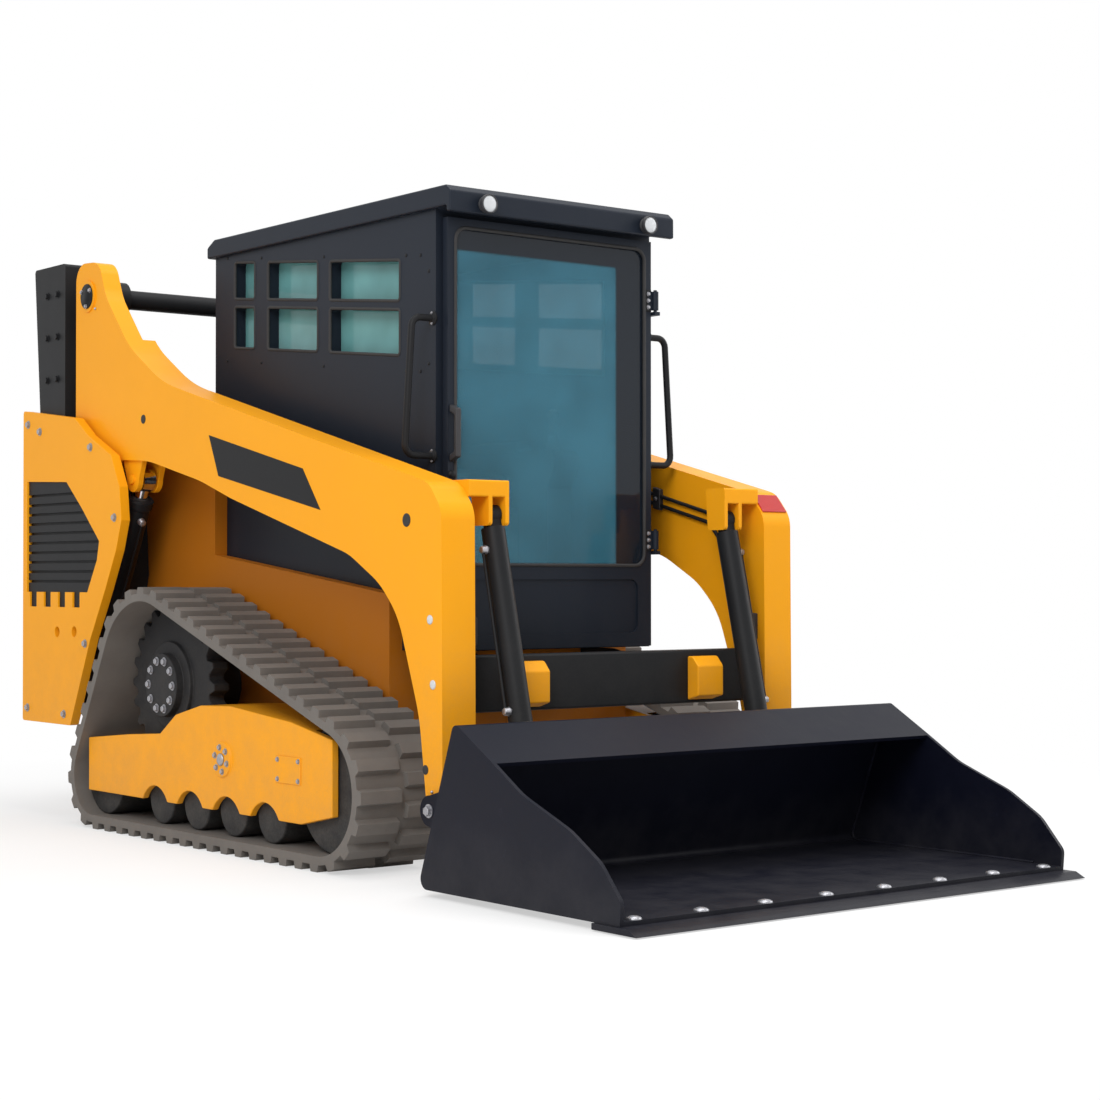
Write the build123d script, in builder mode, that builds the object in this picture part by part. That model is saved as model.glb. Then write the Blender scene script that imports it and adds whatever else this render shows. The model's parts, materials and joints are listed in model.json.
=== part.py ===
"""Compact track loader: rubber tracks, radial lift arms, enclosed cab and a dirt bucket.

Millimetres. The machine faces -Y, +X is its left side and +Z is up. The origin is on the
ground, midway between the cutting edge's tip and the rear end of the quarter panels.
"""

import os
from math import acos, atan2, cos, degrees, hypot, radians, sin

from build123d import *

# ---- clearances -------------------------------------------------------------------------
seat_gap = 0.3          # between round or nested pieces of one body
pin_gap = 0.5           # radial, round every hinge pin
side_gap = 6.0          # beside an eye, a foot or a door

# ---- overall ----------------------------------------------------------------------------
machine_rear = 1875.0
tip_y = -1875.0         # cutting edge's tip
chassis_half = 490.0
wall = 12.0             # chassis plate
belly_z = 230.0
hull_front, hull_rear = -230.0, 1800.0
rail_rise = 970.0       # top of the side rails where they meet the engine bay
deck_z = 1440.0         # top of the engine bay

# ---- arm linkage ------------------------------------------------------------------------
pivot_y, pivot_z = 1430.0, 1930.0        # arm pivot, at the top of the towers
foot_y, foot_z = -780.0, 215.0           # coupler pivot, at the foot of the arms
arm_out, arm_in = 705.0, 585.0           # outer and inner face of an arm
horn_in = 635.0                          # inner face of the arm's slimmer horn
lift_pin_y, lift_pin_z = 1100.0, 1242.0  # lift cylinder's rod end
lift_base_y, lift_base_z = 1560.0, 420.0
lift_x = 645.0
tilt_x = 475.0
tilt_pin_y, tilt_pin_z = -930.0, 300.0   # tilt cylinder's rod end, on the coupler
tilt_base_y, tilt_base_z = -745.0, 1080.0
cross_tube = (-758.0, -700.0, 490.0, 660.0)   # front, rear, bottom and top

lift_barrel_r, lift_rod_r, lift_eye_r = 45.0, 24.0, 42.0
lift_eye_width = 44.0
tilt_barrel_r, tilt_rod_r, tilt_eye_r = 36.0, 18.0, 28.0
tilt_eye_width = 40.0
cylinder_pin_r = 16.0
ear_plate = 14.0
main_pin_r = 36.0
foot_pin_r = 25.0

# ---- tracks -----------------------------------------------------------------------------
track_out = 828.0
belt_width = 320.0
belt_thickness = 48.0
lug_height, lug_base, lug_split = 22.0, 52.0, 24.0
lug_count = 50
track_x = track_out - belt_width / 2
# each wheel that the belt runs round: centre y, centre z, radius at the lugs' tips
front_idler = (-340.0, 240.0, 240.0)
rear_idler = (1150.0, 185.0, 185.0)
sprocket = (790.0, 520.0, 338.0)
sprocket_teeth, tooth_height = 24, 34.0
roller_r = 88.0
roller_ys = (15.0, 255.0, 495.0, 735.0)
frame_out, frame_in = 800.0, 545.0
frame_plate = 25.0
frame_bottom = 130.0

# ---- cab --------------------------------------------------------------------------------
cab_half = 440.0
cab_front, cab_rear = -412.0, 955.0
post = 45.0             # cab wall thickness, posts and headers
ceiling = 20.0
roof_top = 2115.0
roof_depth = 75.0
cab_top = roof_top - roof_depth
sill_z = 660.0          # top of the chassis under the cab
floor_plate = 16.0
floor_z = sill_z + floor_plate
cab_gap = 5.0           # behind the cab and beside its floor
visor_y = -515.0        # front of the roof
visor_bottom = cab_top - 20
roof_half = 460.0
roof_overhang = 30.0
roof_rib = 10.0
door_thick = 28.0
door_half = cab_half - 22
door_front = cab_front - side_gap - door_thick
door_bottom = sill_z + 4
door_top = visor_bottom - side_gap
door_border = 28.0
door_glass_bottom = 930.0
door_hinge_x, door_hinge_y = cab_half - 10, door_front - 8
door_hinge_zs = (980.0, 1780.0)
glass = 6.0
lamp_x, lamp_r = 330.0, 30.0
rail_r = 11.0           # grab rails' tube
seat_z = 1130.0         # top of the seat's base

# ---- covers -----------------------------------------------------------------------------
bay_front = cab_rear + cab_gap         # engine bay's front wall
cowl_rear = bay_front + 50
hood_hinge_y, hood_hinge_z = cowl_rear - 20, deck_z + 60
hood_hinge_xs = (-300.0, 300.0)
hood_bottom = deck_z + 0.3
hood_top = deck_z + 72
hood_front = cowl_rear + 3
rear_hinge_x, rear_hinge_y = 481.0, hull_rear + 62
rear_hinge_zs = (640.0, 1240.0)
grille_half, grille_low, grille_high = 380.0, 700.0, 1250.0

# ---- bucket -----------------------------------------------------------------------------
bucket_half = 865.0
edge_half = 875.0
bucket_plate = 12.0
bucket_floor_z = 20.0


def side_profile(points, x_from, x_to, corner=0.0):
    """A plate or box: a side view outline of (y, z) points, drawn out along X."""
    with BuildPart() as solid:
        with BuildSketch(Plane.YZ.offset(x_from)) as outline:
            with BuildLine():
                Polyline(*points, close=True)
            make_face()
            if corner:
                fillet(outline.vertices(), corner)
        extrude(amount=x_to - x_from)
    return solid.part


def cross_pin(y, z, radius, x_from, x_to):
    """A round bar along X."""
    with BuildPart() as solid:
        with BuildSketch(Plane.YZ.offset(x_from)):
            with Locations((y, z)):
                Circle(radius)
        extrude(amount=x_to - x_from)
    return solid.part


def block(x_from, x_to, y_from, y_to, z_from, z_to):
    """A box between two corners."""
    with BuildPart() as solid:
        with BuildSketch(Plane.XY.offset(z_from)):
            with Locations(((x_from + x_to) / 2, (y_from + y_to) / 2)):
                Rectangle(x_to - x_from, y_to - y_from)
        extrude(amount=z_to - z_from)
    return solid.part


def upright_pin(x, y, radius, z_from, z_to):
    """A round bar along Z."""
    with BuildPart() as solid:
        with BuildSketch(Plane.XY.offset(z_from)):
            with Locations((x, y)):
                Circle(radius)
        extrude(amount=z_to - z_from)
    return solid.part


def write(part, name):
    part.label = name
    export_step(part, f"parts/{name}.step")


def write_pair(part, name):
    """The right-hand piece as built, and its mirror image on the left."""
    write(part, f"{name}_right")
    write(part.mirror(Plane.YZ), f"{name}_left")


def both_sides(part):
    """One node with a like piece on each side of the machine."""
    with BuildPart() as pair:
        add(part)
        add(part.mirror(Plane.YZ))
    return pair.part


def belt_loop(inset):
    """Closed wire round the three wheels, inset from the lugs' tips, as (y, z) geometry."""
    wheels = (front_idler, rear_idler, sprocket)
    radii = [wheel[2] - inset for wheel in wheels]
    leave = []
    for index, wheel in enumerate(wheels):
        other = wheels[(index + 1) % len(wheels)]
        span = hypot(other[0] - wheel[0], other[1] - wheel[1])
        heading = atan2(other[1] - wheel[1], other[0] - wheel[0])
        leave.append(heading - acos((wheel[2] - other[2]) / span))
    ends = []
    for index, wheel in enumerate(wheels):
        start, stop = leave[index - 1], leave[index]
        if stop < start:
            stop += radians(360)
        at = [
            (wheel[0] + radii[index] * cos(angle), wheel[1] + radii[index] * sin(angle))
            for angle in (start, (start + stop) / 2, stop)
        ]
        ends.append(at)
    with BuildSketch() as face:
        with BuildLine():
            for index, (first, middle, last) in enumerate(ends):
                ThreePointArc(first, middle, last)
                Line(last, ends[(index + 1) % len(ends)][0])
        make_face()
    return face.sketch


os.makedirs("parts", exist_ok=True)

# ---- chassis ----------------------------------------------------------------------------
hull_points = [
    (hull_front, 400), (hull_front + 80, belly_z), (1500, belly_z), (hull_rear, 380),
    (hull_rear, deck_z), (870, deck_z), (870, rail_rise), (hull_front, 838),
]
bay_half = chassis_half - wall
with BuildPart() as main_frame:
    add(side_profile(hull_points, -chassis_half, chassis_half))
    cab_pocket = block(-cab_half - 0.5, cab_half + 0.5, hull_front - 10, bay_front, sill_z, deck_z + 10)
    add(cab_pocket, mode=Mode.SUBTRACT)
    add(block(-bay_half, bay_half, bay_front + wall, 1500, belly_z + wall, deck_z - wall), mode=Mode.SUBTRACT)
    add(block(-bay_half, bay_half, 1490, hull_rear - wall, 392, deck_z - wall), mode=Mode.SUBTRACT)
    add(block(-bay_half, bay_half, cowl_rear, hull_rear - 40, deck_z - 20, deck_z + 10), mode=Mode.SUBTRACT)
    add(block(-430, 430, hull_rear - 20, hull_rear + 10, 540, 1400), mode=Mode.SUBTRACT)
    bracket_points = [
        (hood_hinge_y - 27, deck_z - 2), (hood_hinge_y + 17, deck_z - 2),
        (hood_hinge_y + 12, hood_hinge_z), (hood_hinge_y - 12, hood_hinge_z),
    ]
    for x in hood_hinge_xs:
        add(side_profile(bracket_points, x - 6, x + 6))
        add(cross_pin(hood_hinge_y, hood_hinge_z, 12, x - 6, x + 6))
        add(cross_pin(hood_hinge_y, hood_hinge_z, 7, x, x + 36))
    for z in rear_hinge_zs:
        add(upright_pin(rear_hinge_x, rear_hinge_y, 7, z, z + 76))
        add(block(rear_hinge_x - 9, chassis_half, rear_hinge_y - 70, rear_hinge_y + 9, z - 12, z))
write(main_frame.part, "main_frame")

# towers: a rear post each side, a web out to the arm pivot, and the lift cylinder's base
tower_in, tower_out = 560.0, 720.0
post_top, post_bend, post_low = 2070.0, 1500.0, 420.0
post_front = hull_rear - 150


def post_rear(z):
    """Where a tower post's leaning rear face is at a height."""
    return hull_rear + (z - post_bend) * 50 / (post_top - post_bend)


post_points = [
    (post_front - 60, post_top), (post_rear(post_top), post_top), (hull_rear, post_bend),
    (hull_rear, post_low), (post_front, post_low), (post_front, 700), (post_front - 60, 1100),
]
inner_points = [(1400, 1380), (1660, 1380), (1660, 375), (1500, 375), (1420, 700), (1360, 900)]
with BuildPart() as tower:
    add(side_profile(post_points, -tower_out, -tower_in, 14))
    add(block(-tower_in, -chassis_half, post_front, hull_rear, post_low, post_bend))
    add(side_profile(inner_points, -575, -chassis_half))
    add(cross_pin(lift_base_y, lift_base_z, cylinder_pin_r, -tower_out + 20, -575))
    add(side_profile([(1560, 385), (1660, 385), (1660, 455), (1560, 455)], -lift_x - 48, -lift_x - 28))
    add(cross_pin(lift_base_y, lift_base_z, 38, -lift_x - 48, -lift_x - 28))
    with BuildSketch(Plane.YZ.offset(-horn_in + 12)):
        with Locations((pivot_y, pivot_z)):
            Circle(62)
        with Locations((pivot_y + 90, pivot_z)):
            Rectangle(180, 124)
    extrude(amount=horn_in - 12 - tower_in)
    with BuildSketch(Plane.YZ.offset(-800)):
        with Locations((pivot_y, pivot_z)):
            Circle(main_pin_r + pin_gap)
    extrude(amount=400, mode=Mode.SUBTRACT)
write(both_sides(tower.part), "towers")

# quarter panels with the chevron vents let into them
panel_in, panel_out = 720.0, 755.0
panel_points = [
    (machine_rear, 345), (1470, 345), (1311, 664), (1194, 846), (1110, 989), (1070, 1095),
    (1085, 1215), (1150, 1330), (1331, 1410), (1437, 1479), (machine_rear, 1530),
]
vent_rear, vent_low = 1840.0, 837.0
tooth_width, tooth_depth = 58.0, 56.0
vent_teeth = (1425.0, 1545.0, 1665.0, 1785.0)
vent_holes = ((1580.0, 688.0), (1440.0, 691.0))
vent_recess = 8.0
slat_pitch, slat_groove = 36.0, 10.0
chevron_points = [(vent_rear, 1257), (1506, 1245), (1382, 1146), (1242, 1023), (1259, 954), (1335, vent_low),
                  (vent_rear, vent_low)]


def vent_outline(inset):
    """The chevron with the teeth along its lower edge, drawn in by inset all round."""
    with BuildSketch() as outline:
        with BuildLine():
            Polyline(*chevron_points, close=True)
        make_face()
        for y in vent_teeth:
            with Locations((y, vent_low)):
                Rectangle(tooth_width, 2 * tooth_depth)
        if inset:
            offset(amount=-inset, kind=Kind.INTERSECTION)
    return outline.sketch


with BuildPart() as quarter_panel:
    add(side_profile(panel_points, -panel_out, -panel_in, 12))
    with BuildSketch(Plane.YZ.offset(-panel_out - 5)):
        add(vent_outline(0))
        with Locations(*vent_holes):
            Circle(20)
    extrude(amount=panel_out - panel_in + 10, mode=Mode.SUBTRACT)
write(both_sides(quarter_panel.part), "quarter_panels")
with BuildPart() as vent:
    with BuildSketch(Plane.YZ.offset(-panel_out + vent_recess)):
        add(vent_outline(seat_gap))
    extrude(amount=panel_out - vent_recess - panel_in)
    with BuildSketch(Plane.YZ.offset(-panel_out + vent_recess - 1)):
        for row in range(10):
            with Locations((1550, vent_low + 40 + row * slat_pitch)):
                Rectangle(640, slat_groove)
    extrude(amount=13, mode=Mode.SUBTRACT)
write(both_sides(vent.part), "side_vents")

with BuildPart() as engine:
    add(block(-250, 250, bay_front + 60, 1480, belly_z + wall, 1150))
    fillet(engine.edges().filter_by(Axis.Z), 40)
write(engine.part, "engine_block")

# rear bumper with the tow eyes and the counterweight's bolt holes
bumper_rear = hull_rear + 62
with BuildPart() as bumper:
    add(block(-chassis_half, chassis_half, hull_rear, bumper_rear, 384, 512))
    eye_points = [(hull_rear, 310), (hull_rear + 15, 280), (hull_rear + 45, 280), (hull_rear + 60, 310),
                  (hull_rear + 60, 390), (hull_rear, 390)]
    for x in (-300, 300):
        add(side_profile(eye_points, x - 10, x + 10))
        add(cross_pin(hull_rear + 30, 320, 16, x - 20, x + 20), mode=Mode.SUBTRACT)
    with BuildSketch(Plane.XZ.offset(-bumper_rear)):
        with Locations((0, 448)):
            with GridLocations(400, 64, 2, 2):
                Circle(9)
    extrude(amount=bumper_rear - hull_rear, mode=Mode.SUBTRACT)
write(bumper.part, "rear_bumper")

# ---- engine covers ----------------------------------------------------------------------
cover_front, cover_rear = hull_rear + 0.3, hull_rear + 44
rear_door_points = [(cover_front, 524), (cover_rear, 524), (cover_rear, 1380), (cover_front, 1425)]
with BuildPart() as rear_door:
    add(side_profile(rear_door_points, -470, 470))
    grille_hole = block(-grille_half, grille_half, hull_rear - 10, cover_rear + 26, grille_low, grille_high)
    add(grille_hole, mode=Mode.SUBTRACT)
    for z in rear_hinge_zs:
        add(upright_pin(rear_hinge_x, rear_hinge_y, 14, z + 5, z + 70))
        add(block(rear_hinge_x - 60, rear_hinge_x - 2, cover_rear - 4, rear_hinge_y, z + 5, z + 70))
        add(upright_pin(rear_hinge_x, rear_hinge_y, 7 + pin_gap, z, z + 90), mode=Mode.SUBTRACT)
write(rear_door.part, "rear_door")

# louvres lean out over a thin back plate
grille_back = hull_rear + 18
louvre_count = 14
louvre_pitch = (grille_high - grille_low) / louvre_count
with BuildPart() as grille:
    add(block(-grille_half + seat_gap, grille_half - seat_gap, grille_back, grille_back + 5,
              grille_low + seat_gap, grille_high - seat_gap))
    for row in range(louvre_count):
        top = grille_high - 6 - row * louvre_pitch
        louvre_points = [(grille_back + 4, top), (grille_back + 17, top - 18), (grille_back + 17, top - 22),
                         (grille_back + 4, top - 6)]
        add(side_profile(louvre_points, -grille_half + 12, grille_half - 12))
write(grille.part, "rear_grille")

hood_points = [
    (hood_front, hood_bottom), (hull_rear + 40, hood_bottom), (hull_rear + 40, hood_bottom + 40),
    (hull_rear, hood_top),
    (hood_front, hood_top),
]
with BuildPart() as hood:
    add(side_profile(hood_points, -484, 484))
    for x in hood_hinge_xs:
        add(cross_pin(hood_hinge_y, hood_hinge_z, 12, x + 11, x + 36))
        add(block(x + 11, x + 36, hood_hinge_y, hood_front + 12, hood_hinge_z - 8, hood_hinge_z + 8))
        add(cross_pin(hood_hinge_y, hood_hinge_z, 7 + pin_gap, x, x + 50), mode=Mode.SUBTRACT)
write(hood.part, "hood")

# ---- cab --------------------------------------------------------------------------------
cab_in = cab_half - post
cab_rear_in = cab_rear - post
# side window panes: front end, rear end; each split in two rows by a rail that slopes forward
pane_columns = ((-215, 197), (271, 594), (681, 820))
pane_rear = 820.0
pane_slope = 0.105
pane_rows = ((cab_top - 333, cab_top - 186), (cab_top - 159, cab_top - 28))
rear_pane_half, rear_pane_low, rear_pane_high = 330.0, 1530.0, cab_top - 90


def pane_line(y, height_at_rear):
    return (y, height_at_rear - (pane_rear - y) * pane_slope)


with BuildPart() as cab_frame:
    add(block(-cab_half, cab_half, cab_front, cab_rear, floor_z + 0.3, cab_top))
    add(block(-cab_in, cab_in, cab_front + post, cab_rear_in, sill_z, cab_top - ceiling), mode=Mode.SUBTRACT)
    doorway = block(-cab_in, cab_in, cab_front - 10, cab_front + post + 10, sill_z, cab_top - post)
    add(doorway, mode=Mode.SUBTRACT)
    add(block(-rear_pane_half, rear_pane_half, cab_rear_in - 10, cab_rear + 10, rear_pane_low, rear_pane_high),
        mode=Mode.SUBTRACT)
    for front, rear in pane_columns:
        for low, high in pane_rows:
            lower = [pane_line(front, low), pane_line(rear, low)]
            upper = [pane_line(rear, high), pane_line(front, high)]
            add(side_profile(lower + upper, -cab_half - 10, cab_half + 10, 12), mode=Mode.SUBTRACT)
    for z in door_hinge_zs:
        add(upright_pin(door_hinge_x, door_hinge_y, 6, z, z + 72))
        add(block(door_hinge_x - 6, cab_half + 6, door_hinge_y - 6, cab_front + 4, z - 12, z))
write(cab_frame.part, "cab_frame")
write(block(-cab_half, cab_half, cab_front, cab_rear - 17, sill_z, floor_z), "cab_floor")

roof_rear = cab_rear + roof_overhang
roof_points = [
    (visor_y, visor_bottom), (visor_y + 21, visor_bottom), (visor_y + 21, cab_top), (roof_rear, cab_top),
    (roof_rear, roof_top - 35), (roof_rear - 50, roof_top - roof_rib), (visor_y + 25, roof_top - roof_rib),
    (visor_y, roof_top - 30),
]
with BuildPart() as roof:
    add(side_profile(roof_points, -roof_half, roof_half))
    with BuildSketch(Plane.XY.offset(roof_top - roof_rib)):
        with Locations((0, (visor_y + roof_rear) / 2)):
            RectangleRounded(2 * roof_half - 150, roof_rear - visor_y - 190, 50)
    extrude(amount=roof_rib, taper=35)
write(roof.part, "cab_roof")

side_glass_points = [
    pane_line(pane_columns[0][0] - 18, pane_rows[0][0] - 20), pane_line(pane_rear + 18, pane_rows[0][0] - 20),
    pane_line(pane_rear + 18, pane_rows[1][1] + 4), pane_line(pane_columns[0][0] - 18, pane_rows[1][1] + 4),
]
write(both_sides(side_profile(side_glass_points, -cab_in, -cab_in + glass)), "side_windows")
write(block(-rear_pane_half - 15, rear_pane_half + 15, cab_rear_in - glass, cab_rear_in,
            rear_pane_low - 15, rear_pane_high + 15), "rear_window")

# the door closes over the front posts
glass_width = 2 * (door_half - door_border)
glass_height = door_top - door_border - door_glass_bottom
glass_middle = (door_top - door_border + door_glass_bottom) / 2
glass_corner = 40.0
with BuildPart() as door:
    add(block(-door_half, door_half, door_front, door_front + door_thick, door_bottom, door_top))
    with BuildSketch(Plane.XZ.offset(-door_front - door_thick)):
        with Locations((0, glass_middle)):
            RectangleRounded(glass_width, glass_height, glass_corner)
    extrude(amount=door_thick, mode=Mode.SUBTRACT)
    with BuildSketch(Plane.XZ.offset(-door_front - 6)):
        with Locations((0, (door_bottom + door_glass_bottom) / 2)):
            RectangleRounded(glass_width - 60, door_glass_bottom - door_bottom - 90, 30)
    extrude(amount=6, mode=Mode.SUBTRACT)
    for z in door_hinge_zs:
        with BuildSketch(Plane.XY.offset(z + 5)):
            with Locations((door_hinge_x, door_hinge_y)):
                Circle(11)
            with Locations((door_hinge_x - 14, door_hinge_y + 7)):
                Rectangle(26, 8)
        extrude(amount=62)
        add(upright_pin(door_hinge_x, door_hinge_y, 6 + pin_gap, z, z + 80), mode=Mode.SUBTRACT)
write(door.part, "door_frame")
with BuildPart() as door_glass:
    with BuildSketch(Plane.XZ.offset(-door_front - door_thick / 2)):
        with Locations((0, glass_middle)):
            RectangleRounded(glass_width - 2 * seat_gap, glass_height - 2 * seat_gap, glass_corner)
    extrude(amount=glass)
write(door_glass.part, "door_glass")

handle_low, handle_high, handle_reach = 1250.0, 1430.0, 40.0
handle_points = [
    (door_front, handle_low), (door_front - handle_reach, handle_low + 14),
    (door_front - handle_reach, handle_high - 14), (door_front, handle_high), (door_front, handle_high - 24),
    (door_front - handle_reach + 13, handle_high - 34), (door_front - handle_reach + 13, handle_low + 34),
    (door_front, handle_low + 24),
]
write(side_profile(handle_points, -door_half + 4, -door_half + 24), "door_handle")

with BuildPart() as lamp:
    with BuildSketch(Plane.XZ.offset(-visor_y)):
        with Locations((-lamp_x, visor_bottom + lamp_r)):
            Circle(lamp_r)
    extrude(amount=34)
write(both_sides(lamp.part), "work_lamps")

# grab rails stand off the cab's front posts
rail_y, rail_low, rail_high = cab_front + 14, 1270.0, 1700.0
rail_out_high, rail_out_low = cab_half + 80, cab_half + 108
rail_bend = 24.0
with BuildPart() as rail:
    with BuildLine(Plane.XZ.offset(-rail_y)) as rail_path:
        Polyline(
            (cab_half, rail_high), (rail_out_high - rail_bend, rail_high),
            (rail_out_high, rail_high - rail_bend), (rail_out_low, rail_low + rail_bend),
            (rail_out_low - rail_bend, rail_low), (cab_half, rail_low),
        )
    with BuildSketch(Plane.YZ.offset(cab_half)):
        with Locations((rail_y, rail_high)):
            Circle(rail_r)
    sweep(path=rail_path.line, transition=Transition.RIGHT)
    for z in (rail_low, rail_high):
        add(cross_pin(rail_y, z, 2 * rail_r, cab_half, cab_half + 5))
write(both_sides(rail.part), "grab_rails")

lamp_low, lamp_high, lamp_depth = 1700.0, 1860.0, 18.0
lamp_points = [
    (post_rear(lamp_low), lamp_low), (post_rear(lamp_low) + lamp_depth, lamp_low),
    (post_rear(lamp_high) + lamp_depth, lamp_high), (post_rear(lamp_high), lamp_high),
]
write(both_sides(side_profile(lamp_points, -700, -640)), "rear_lamps")

# tread bar between two hangers on the hull's nose, under the cab's front edge
step_half, step_y, step_z = 300.0, -520.0, 620.0
hanger_points = [(hull_front, 520), (step_y, step_z - 20), (step_y, step_z + 12), (-400, sill_z - 4),
                 (hull_front, sill_z - 4)]
with BuildPart() as step:
    add(block(-step_half, step_half, step_y, step_y + 110, step_z, step_z + 12))
    for x in (-step_half, step_half - 12):
        add(side_profile(hanger_points, x, x + 12))
write(step.part, "front_step")

seat_front = 20.0
write(block(-220, 220, seat_front, 500, floor_z, seat_z), "seat_base")
seat_bottom = seat_z + 0.3
seat_points = [
    (seat_front - 20, seat_bottom), (seat_front + 580, seat_bottom), (seat_front + 620, seat_z + 650),
    (seat_front + 520, seat_z + 660), (seat_front + 460, seat_z + 150), (seat_front - 20, seat_z + 120),
]
write(side_profile(seat_points, -235, 235, 30), "seat")
console_in, console_out = 280.0, cab_in - 7
console_top = seat_z + 200
console_points = [(-60, floor_z), (500, floor_z), (500, console_top), (-100, console_top),
                  (-100, console_top - 60), (-60, console_top - 130)]
with BuildPart() as console:
    add(side_profile(console_points, -console_out, -console_in, 25))
    with BuildSketch(Plane.XY.offset(console_top - 5)):
        with Locations((-(console_in + console_out) / 2, -20)):
            Circle(16)
    extrude(amount=120)
write(both_sides(console.part), "consoles")

# ---- undercarriage ----------------------------------------------------------------------
# each belt has two rows of tread lugs, set half a pitch apart
lug_line = belt_loop(lug_height).wire()
lug_rows = (
    (-track_out, -track_x - lug_split / 2, 0.0),
    (-track_x + lug_split / 2, -track_out + belt_width, 0.5),
)
lug_root = 6.0          # how far a lug is let into the belt
with BuildPart() as track:
    with BuildSketch(Plane.YZ.offset(-track_out)):
        add(belt_loop(lug_height))
        add(belt_loop(belt_thickness), mode=Mode.SUBTRACT)
    extrude(amount=belt_width)
    for x_from, x_to, phase in lug_rows:
        with BuildSketch(Plane.YZ.offset(x_from)):
            for index in range(lug_count):
                share = (index + phase) / lug_count
                at = lug_line @ share
                heading = lug_line % share
                turned = degrees(atan2(heading.Y, heading.X))
                with Locations(Location((at.X, at.Y, 0), (0, 0, turned))):
                    with Locations((0, (lug_root - lug_height) / 2)):
                        Trapezoid(lug_base, lug_height + lug_root, 75, rotation=180)
            add(belt_loop(0), mode=Mode.INTERSECT)
        extrude(amount=x_to - x_from)
write_pair(track.part, "track")

frame_points = [
    (1228, frame_bottom), (1228, 318), (930, 345), (700, 360), (590, 430), (424, 468), (228, 475),
    (-140, 443), (-380, 401), (-380, 166), (-200, frame_bottom),
]
scallop_r = 100.0       # cut over each roller in the frame's bottom edge
scallop_rise = 50.0
with BuildPart() as track_frame:
    add(side_profile(frame_points, -frame_out, -frame_in))
    with BuildSketch(Plane.YZ.offset(-frame_out + frame_plate)):
        with Locations((424, 120)):
            Rectangle(2200, 240)
        for (y, z, r), room in ((front_idler, 12), (rear_idler, 12), (sprocket, 16)):
            with Locations((y, z)):
                Circle(r - belt_thickness + room)
    extrude(amount=frame_out - frame_in - 2 * frame_plate, mode=Mode.SUBTRACT)
    with BuildSketch(Plane.YZ.offset(-frame_out)):
        for y in roller_ys:
            with Locations((y, frame_bottom + scallop_rise - scallop_r)):
                Circle(scallop_r)
    extrude(amount=frame_out - frame_in, mode=Mode.SUBTRACT)
    with BuildSketch(Plane.YZ.offset(-frame_in)):
        with Locations((60, 330), (330, 330)):
            Circle(55)
    extrude(amount=frame_in - chassis_half)
    with BuildSketch(Plane.YZ.offset(-frame_out - 8)):
        with Locations((272, 300)):
            Circle(58)
    extrude(amount=8)
write_pair(track_frame.part, "track_frame")

wheel_half = (frame_out - frame_in) / 2 - frame_plate - 5
frame_mid = (frame_out + frame_in) / 2
with BuildPart() as wheels:
    for y, z, r in (front_idler, rear_idler):
        add(cross_pin(y, z, r - belt_thickness - seat_gap, -frame_mid - wheel_half, -frame_mid + wheel_half))
    for y in roller_ys:
        add(cross_pin(y, belt_thickness + seat_gap + roller_r, roller_r,
                      -frame_mid - wheel_half, -frame_mid + wheel_half))
write_pair(wheels.part, "track_wheels")
tooth_tip_r = sprocket[2] - belt_thickness - seat_gap
with BuildPart() as drive:
    with BuildSketch(Plane.YZ.offset(-frame_mid - 30)):
        with Locations(sprocket[:2]):
            Circle(tooth_tip_r - tooth_height)
            with PolarLocations(tooth_tip_r - tooth_height / 2 - 2, sprocket_teeth):
                Trapezoid(52, tooth_height + 3, 68, rotation=-90)
    extrude(amount=60)
    add(cross_pin(sprocket[0], sprocket[1], 150, -frame_mid - 45, -frame_mid + 45))
    add(cross_pin(sprocket[0], sprocket[1], 110, -frame_mid - 75, -chassis_half))
write(both_sides(drive.part), "drive_sprockets")

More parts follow.
